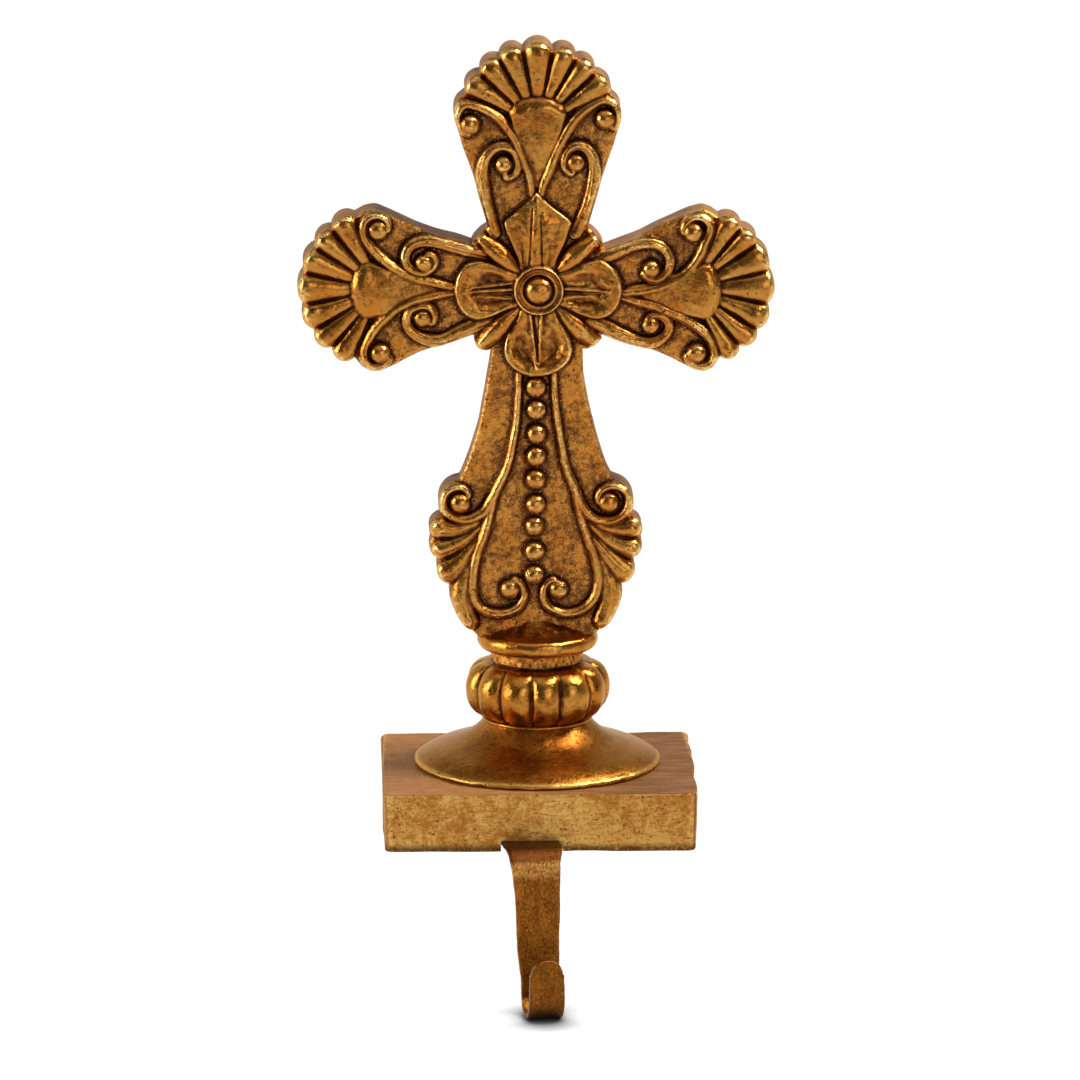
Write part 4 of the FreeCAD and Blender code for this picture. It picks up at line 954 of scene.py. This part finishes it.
class Finish(Nodes):
    """A material of one shader, with patterns in the metres of the object."""

    def __init__(self, name):
        self.material = bpy.data.materials.new(name)
        self.material.use_nodes = True
        super().__init__(self.material.node_tree)
        self.place = self.add("ShaderNodeTexCoord", "Object")
        self.shader = self.add("ShaderNodeBsdfPrincipled")
        self.surface = Value(self, self.shader.outputs[0])
        self.output = self.add("ShaderNodeOutputMaterial", inputs={"Surface": self.surface})

    def noise(self, scale, detail, rough, stretch=None, turn=(0.0, 0.0, 0.0), distortion=0.0):
        place = self.place
        if stretch:
            place = self.add("ShaderNodeMapping", "Vector", {"Scale": stretch, "Rotation": turn, "Vector": place})
        return self.add("ShaderNodeTexNoise", "Fac", {"Scale": scale, "Detail": detail, "Roughness": rough,
                                                      "Distortion": distortion, "Vector": place})

    def layer(self, name):
        """One of the two layers of numbers on the vertices: tone or polish."""
        return self.add("ShaderNodeAttribute", "Fac", attribute_name=name)

    def done(self, colour, metallic, rough, height, strength, distance, others=None):
        """Feeds the shader, with a bump of the given strength and distance; gives the material."""
        bump = self.add("ShaderNodeBump", 0, {"Strength": strength, "Distance": distance, "Height": height})
        inputs = {"Base Color": colour, "Metallic": metallic, "Roughness": rough, "Normal": bump, **(others or {})}
        if "Coat Weight" in inputs:
            inputs["Coat Normal"] = bump
        for name, value in inputs.items():
            self.link(value, self.shader.inputs[name])
        return self.material


def gilt(name, coat):
    """Antique gold under a thin lacquer, rubbed on the crests, brown in the hollows and on the rough field."""
    n = Finish(name)
    level = n.axes(n.place)[2]
    is_field = n.layer("polish").ramp(0.75, 0.25)
    is_foot, rim_painted_highlight = level.ramp(0.0375, 0.0330), level.ramp(0.0236, 0.0228)
    is_band = level.ramp(0.0552, 0.0562) * level.ramp(0.0606, 0.0598)
    is_matt = is_field.most(is_band)
    cloud, grain, speck_and_painted_glint = n.noise(110.0, 4.0, 0.6), n.noise(620.0, 5.0, 0.68), n.noise(2300.0, 2.0, 0.6)
    worn = n.layer("tone") + (grain - 0.5) * 0.62 + (cloud - 0.5) * 0.52
    dark, brown, pale = (0.030, 0.008, 0.0010), (0.16, 0.045, 0.005), (0.82, 0.52, 0.17)
    gold = n.mix(n.noise(70.0, 3.0, 0.6).ramp(0.40, 0.60), (0.44, 0.155, 0.018), (0.45, 0.200, 0.033))
    satin = n.mix((cloud * 0.6 + grain * 0.4).ramp(0.38, 0.62), (0.17, 0.046, 0.0035), (0.30, 0.104, 0.0115))
    colour = n.paint(
        dark, (worn.ramp(0.10, 0.30), brown), (worn.ramp(0.30, 0.60), gold),
        (worn.ramp(0.64, 0.98) * (0.35 + grain.ramp(0.42, 0.60) * 0.65), pale),
        # the plain field keeps more of the brown wash, in clouds and specks; pale specks on the field and the neck
        # band are painted glints
        (is_field * worn.ramp(0.36, 0.52) * 0.5, (0.60, 0.215, 0.022)),
        (is_field * (cloud * 0.6 + grain * 1.2).ramp(0.99, 0.75) * 0.6, (0.16, 0.044, 0.0045)),
        (is_matt * speck_and_painted_glint.ramp(0.58, 0.68) * 0.5, pale),
        # the foot is a darker, even orange-brown up to its irregular rim, which is painted bright as a highlight
        (is_foot * 0.85, satin), (rim_painted_highlight * 0.8, (0.62, 0.33, 0.07)),
        (n.noise(800.0, 1.0, 0.5).ramp(0.33, 0.26) * 0.85, dark))
    rough = 0.09 + grain * 0.16 + is_field * 0.10 + is_foot * 0.12
    hair = n.noise(900.0, 3.0, 0.6, (1.0, 1.0, 0.14))
    height = cloud * 0.4 + grain * 0.40 + hair * 0.14 + speck_and_painted_glint * is_matt * 0.4
    return n.done(colour, 0.97, rough, height, 0.85, 0.0006,
                  {"Coat Weight": coat, "Coat Roughness": 0.09, "Specular Tint": (1.0, 0.80, 0.55),
                   "Specular IOR Level": 0.3})


def gilt_edge():
    """The walls and the back: a thin brown wash over matt gold."""
    n = Finish("gilt_edge")
    cloud, grain = n.noise(110.0, 4.0, 0.6), n.noise(620.0, 5.0, 0.68)
    mottle = cloud * 0.5 + grain * 0.5
    colour = n.paint((0.17, 0.070, 0.020), (mottle.ramp(0.40, 0.60), (0.31, 0.148, 0.043)),
                     (n.noise(900.0, 1.0, 0.5).ramp(0.34, 0.27) * 0.8, (0.04, 0.012, 0.002)))
    return n.done(colour, 0.15, 0.45 + grain * 0.2, mottle, 0.6, 0.0005, {"Specular IOR Level": 0.12})


def aged_block():
    """The block: scratched, speckled ochre in front, brushed brown on its top and sides."""
    n = Finish("aged_block")
    across, _, level = n.axes(n.place)
    is_front = n.layer("polish").ramp(2.8, 2.2)
    cloud, grain = n.noise(60.0, 5.0, 0.62), n.noise(900.0, 4.0, 0.7)
    patch = n.noise(230.0, 5.0, 0.7, distortion=0.8)
    scratch = n.noise(190.0, 3.0, 0.6, (1.0, 1.0, 6.0), (0.0, 0.55, 0.0))
    brushed = n.noise(70.0, 5.0, 0.7, (1.0, 6.0, 6.0))
    mottle = cloud * 0.34 + patch * 0.32 + grain * 0.34
    ochre = (0.33, 0.118, 0.014)
    # painted shade: the right of the top, and a little of the front, painted darker where less light falls
    right_painted_shade = across.ramp(-0.01, 0.035) * (0.55 + brushed.ramp(0.6, 0.4) * 0.45)
    front = n.paint(ochre, (mottle.ramp(0.41, 0.60), (0.60, 0.350, 0.088)),
                    (scratch.ramp(0.55, 0.61) * 0.7, (0.30, 0.105, 0.013)), (right_painted_shade * 0.3, ochre))
    colour = n.paint(
        (0.25, 0.100, 0.026), ((brushed * 0.6 + patch * 0.4).ramp(0.38, 0.62), (0.32, 0.145, 0.045)),
        (right_painted_shade, (0.135, 0.052, 0.014)), (is_front, front),
        # a painted highlight on the edges, painted shade along the underside, with dark dots
        ((n.layer("tone") + grain * 0.5).ramp(0.86, 1.06) * 0.6, (0.66, 0.38, 0.11)),
        (level.ramp(0.0044, 0.0019) * grain.ramp(0.32, 0.50) * 0.85, (0.03, 0.010, 0.002)),
        (n.noise(1050.0, 1.0, 0.5).ramp(0.36, 0.28) * 0.8, (0.06, 0.020, 0.003)))
    rough = 0.52 - is_front * 0.20 + grain * 0.20
    height = patch * 0.5 + grain * 0.4 + brushed * (1.0 - is_front) * 0.6
    return n.done(colour, is_front * 0.5, rough, height, 0.5, 0.0004, {"Specular IOR Level": 0.12})


def bronzed():
    """The hook's satin bronze-brown finish, worn to orange along the edges, with a painted highlight over the bend
    and painted shade where it leaves the block.
    """
    n = Finish("bronzed_strip")
    _, depth, level = n.axes(n.place)
    cloud, grain = n.noise(160.0, 4.0, 0.6), n.noise(900.0, 3.0, 0.6)
    streak = n.noise(90.0, 5.0, 0.65, (5.0, 5.0, 1.0))
    fine = n.noise(1600.0, 4.0, 0.7, (1.0, 1.0, 0.7))
    worn = n.layer("tone") + (grain - 0.5) * 0.3
    mottle = cloud * 0.22 + streak * 0.22 + fine * 0.56
    bend = level.ramp(-0.0055, -0.0022) * level.ramp(0.0018, -0.0002) * (fine.ramp(0.34, 0.62) * 0.9)
    colour = n.paint(
        (0.11, 0.031, 0.003), (mottle.ramp(0.40, 0.60), (0.32, 0.110, 0.011)),
        (worn.ramp(0.62, 0.90), (0.62, 0.29, 0.07)),
        # a painted highlight with painted glints over the bend, painted shade where the strip leaves the block, and
        # darker on the upturned leg
        (bend.most(fine.ramp(0.62, 0.74)) * 0.7, (0.78, 0.40, 0.11)),
        # painted shade on the strip just below the block
        (level.ramp(-0.0004, 0.0016) * 0.85, (0.065, 0.017, 0.002)),
        (depth.ramp(-0.060, -0.064) * 0.3, (0.090, 0.026, 0.003)),
        (n.noise(700.0, 1.0, 0.5).ramp(0.28, 0.22) * 0.8, (0.015, 0.004, 0.001)))
    return n.done(colour, 0.95, 0.24 + grain * 0.2, cloud + fine * 0.8, 0.7, 0.0004)


def plain(name, low, high, scale, metallic, rough):
    """A finish of two close colours in a fine mottle."""
    n = Finish(name)
    mottle = n.noise(scale, 4.0, 0.6)
    return n.done(n.mix(mottle, low, high), metallic, rough + mottle * 0.2, mottle, 0.3, 0.0002)


for piece, *finishes in ((build_cross(), gilt("antique_gilt", 0.16), gilt_edge()),
                         (build_pedestal(), gilt("antique_gilt_base", 0.06)),
                         (build_block(), aged_block()),
                         (build_hook(), bronzed())):
    mesh = piece.data
    mesh.materials.clear()
    for finish in finishes:
        mesh.materials.append(finish)
    if len(finishes) > 1:
        # the second finish is for the walls and the back
        corners = values_of(mesh.loops, "vertex_index", 1, np.int64).reshape(-1, 3)
        marks = values_of(mesh.attributes["polish"].data, "value", 1, np.float32)[:, 0]
        mesh.polygons.foreach_set("material_index", (marks[corners].max(axis=1) == WALL).astype(np.int32))
rubber = plain("pad_rubber", (0.02, 0.02, 0.02), (0.05, 0.05, 0.048), 1800.0, 0.0, 0.6)
plated = plain("plated_steel", (0.42, 0.40, 0.36), (0.58, 0.56, 0.52), 900.0, 1.0, 0.25)
for node, finish in (("pad", rubber), ("hook_screws", plated)):
    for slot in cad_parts[node].material_slots:
        slot.material = finish


def seen(n):
    """1 for the rays that see the background: from the camera, and through reflection or glass."""
    camera, glossy, through = (n.add("ShaderNodeLightPath", f"Is {kind} Ray")
                               for kind in ("Camera", "Glossy", "Transmission"))
    return n.math("ADD", camera + glossy, through, clamp=True)


def build_floor():
    """A white floor with a painted contact shadow: its glow darkens only close under the object, so that the
    background stays white.
    """
    size, near, far, z = 3.0, -1.1, 3.5, FLOOR_Z * MM
    mesh = bpy.data.meshes.new("floor")
    mesh.from_pydata([(-size, near, z), (size, near, z), (size, far, z), (-size, far, z)], [], [(0, 1, 2, 3)])
    floor = link("floor", mesh)
    n = Finish("floor_white")
    for name, value in (("Base Color", (0.86, 0.86, 0.86)), ("Roughness", 0.9), ("Specular IOR Level", 0.0)):
        n.link(value, n.shader.inputs[name])
    # the glow is dimmed by occlusion: a painted contact shadow
    open_sky = n.add("ShaderNodeAmbientOcclusion", "AO", {"Distance": 0.012})
    glow_with_painted_shadow = n.add("ShaderNodeEmission", 0, {"Strength": n.math("POWER", open_sky, 3.3) * 1.10})
    n.link(n.blend(seen(n) * 0.88, n.surface, glow_with_painted_shadow), n.output.inputs["Surface"])
    mesh.materials.append(n.material)


def build_world():
    """A white backdrop behind the object, and a darker room in front of it and above."""
    world = bpy.data.worlds.new("studio")
    bpy.context.scene.world = world
    world.use_nodes = True
    n = Nodes(world.node_tree)
    x, y, z = n.axes(n.add("ShaderNodeTexCoord", "Generated"))
    right = 1.0 - x.ramp(0.10, 0.55) * 0.5
    above = z.ramp(0.70, 0.88) * y.ramp(0.32, 0.08)
    level = 0.12 + y.ramp(-0.15, 0.35) * z.ramp(0.80, 0.40) * (right * 0.88) + above * 0.8
    camera_ray = n.add("ShaderNodeLightPath", "Is Camera Ray")
    room, backdrop = (n.add("ShaderNodeBackground", 0, {"Color": (1, 1, 1), "Strength": strength})
                      for strength in (0.50, level.most(camera_ray)))
    n.add("ShaderNodeOutputWorld", inputs={"Surface": n.blend(seen(n), room, backdrop)})


def add_lamp(name, place, size, power, colour=(1, 1, 1)):
    """A rectangular lamp, turned towards the middle of the object."""
    light = bpy.data.lights.new(name, "AREA")
    light.shape = "RECTANGLE"
    light.size, light.size_y = size
    light.energy, light.color = power, colour
    lamp = link(name, light)
    lamp.location = place
    lamp.rotation_euler = (Vector((0, 0, 0.13)) - Vector(place)).to_track_quat("-Z", "Y").to_euler()


def build_camera():
    """The camera of the photo."""
    elevation, azimuth, distance = math.radians(13.4), math.radians(1.36), 4200.0
    target = Vector((0.87, 0.0, 96.9))
    pixels_per_mm, picture, sensor = 3.02, 1080, 36.0
    look = Vector((math.sin(azimuth) * math.cos(elevation), math.cos(azimuth) * math.cos(elevation),
                   -math.sin(elevation)))
    right = Vector((math.cos(azimuth), -math.sin(azimuth), 0))
    data = bpy.data.cameras.new("camera")
    data.sensor_width = sensor
    data.lens = pixels_per_mm * distance / picture * sensor
    data.clip_start, data.clip_end = 0.1, 30.0
    camera = link("camera", data)
    basis = Matrix((right, right.cross(look), -look)).transposed().to_4x4()
    camera.matrix_world = Matrix.Translation((target - look * distance) * MM) @ basis
    bpy.context.scene.camera = camera


build_floor()
build_world()
add_lamp("key", (0.72, 0.0, 1.08), (0.34, 0.34), 20.0, (1.0, 0.98, 0.94))
add_lamp("side", (-1.24, -0.28, 0.40), (0.24, 0.6), 9.0, (1.0, 0.99, 0.96))
add_lamp("front", (0.75, -1.5, 0.55), (0.9, 0.7), 6.0)
build_camera()
bpy.context.scene.view_settings.view_transform = "Standard"
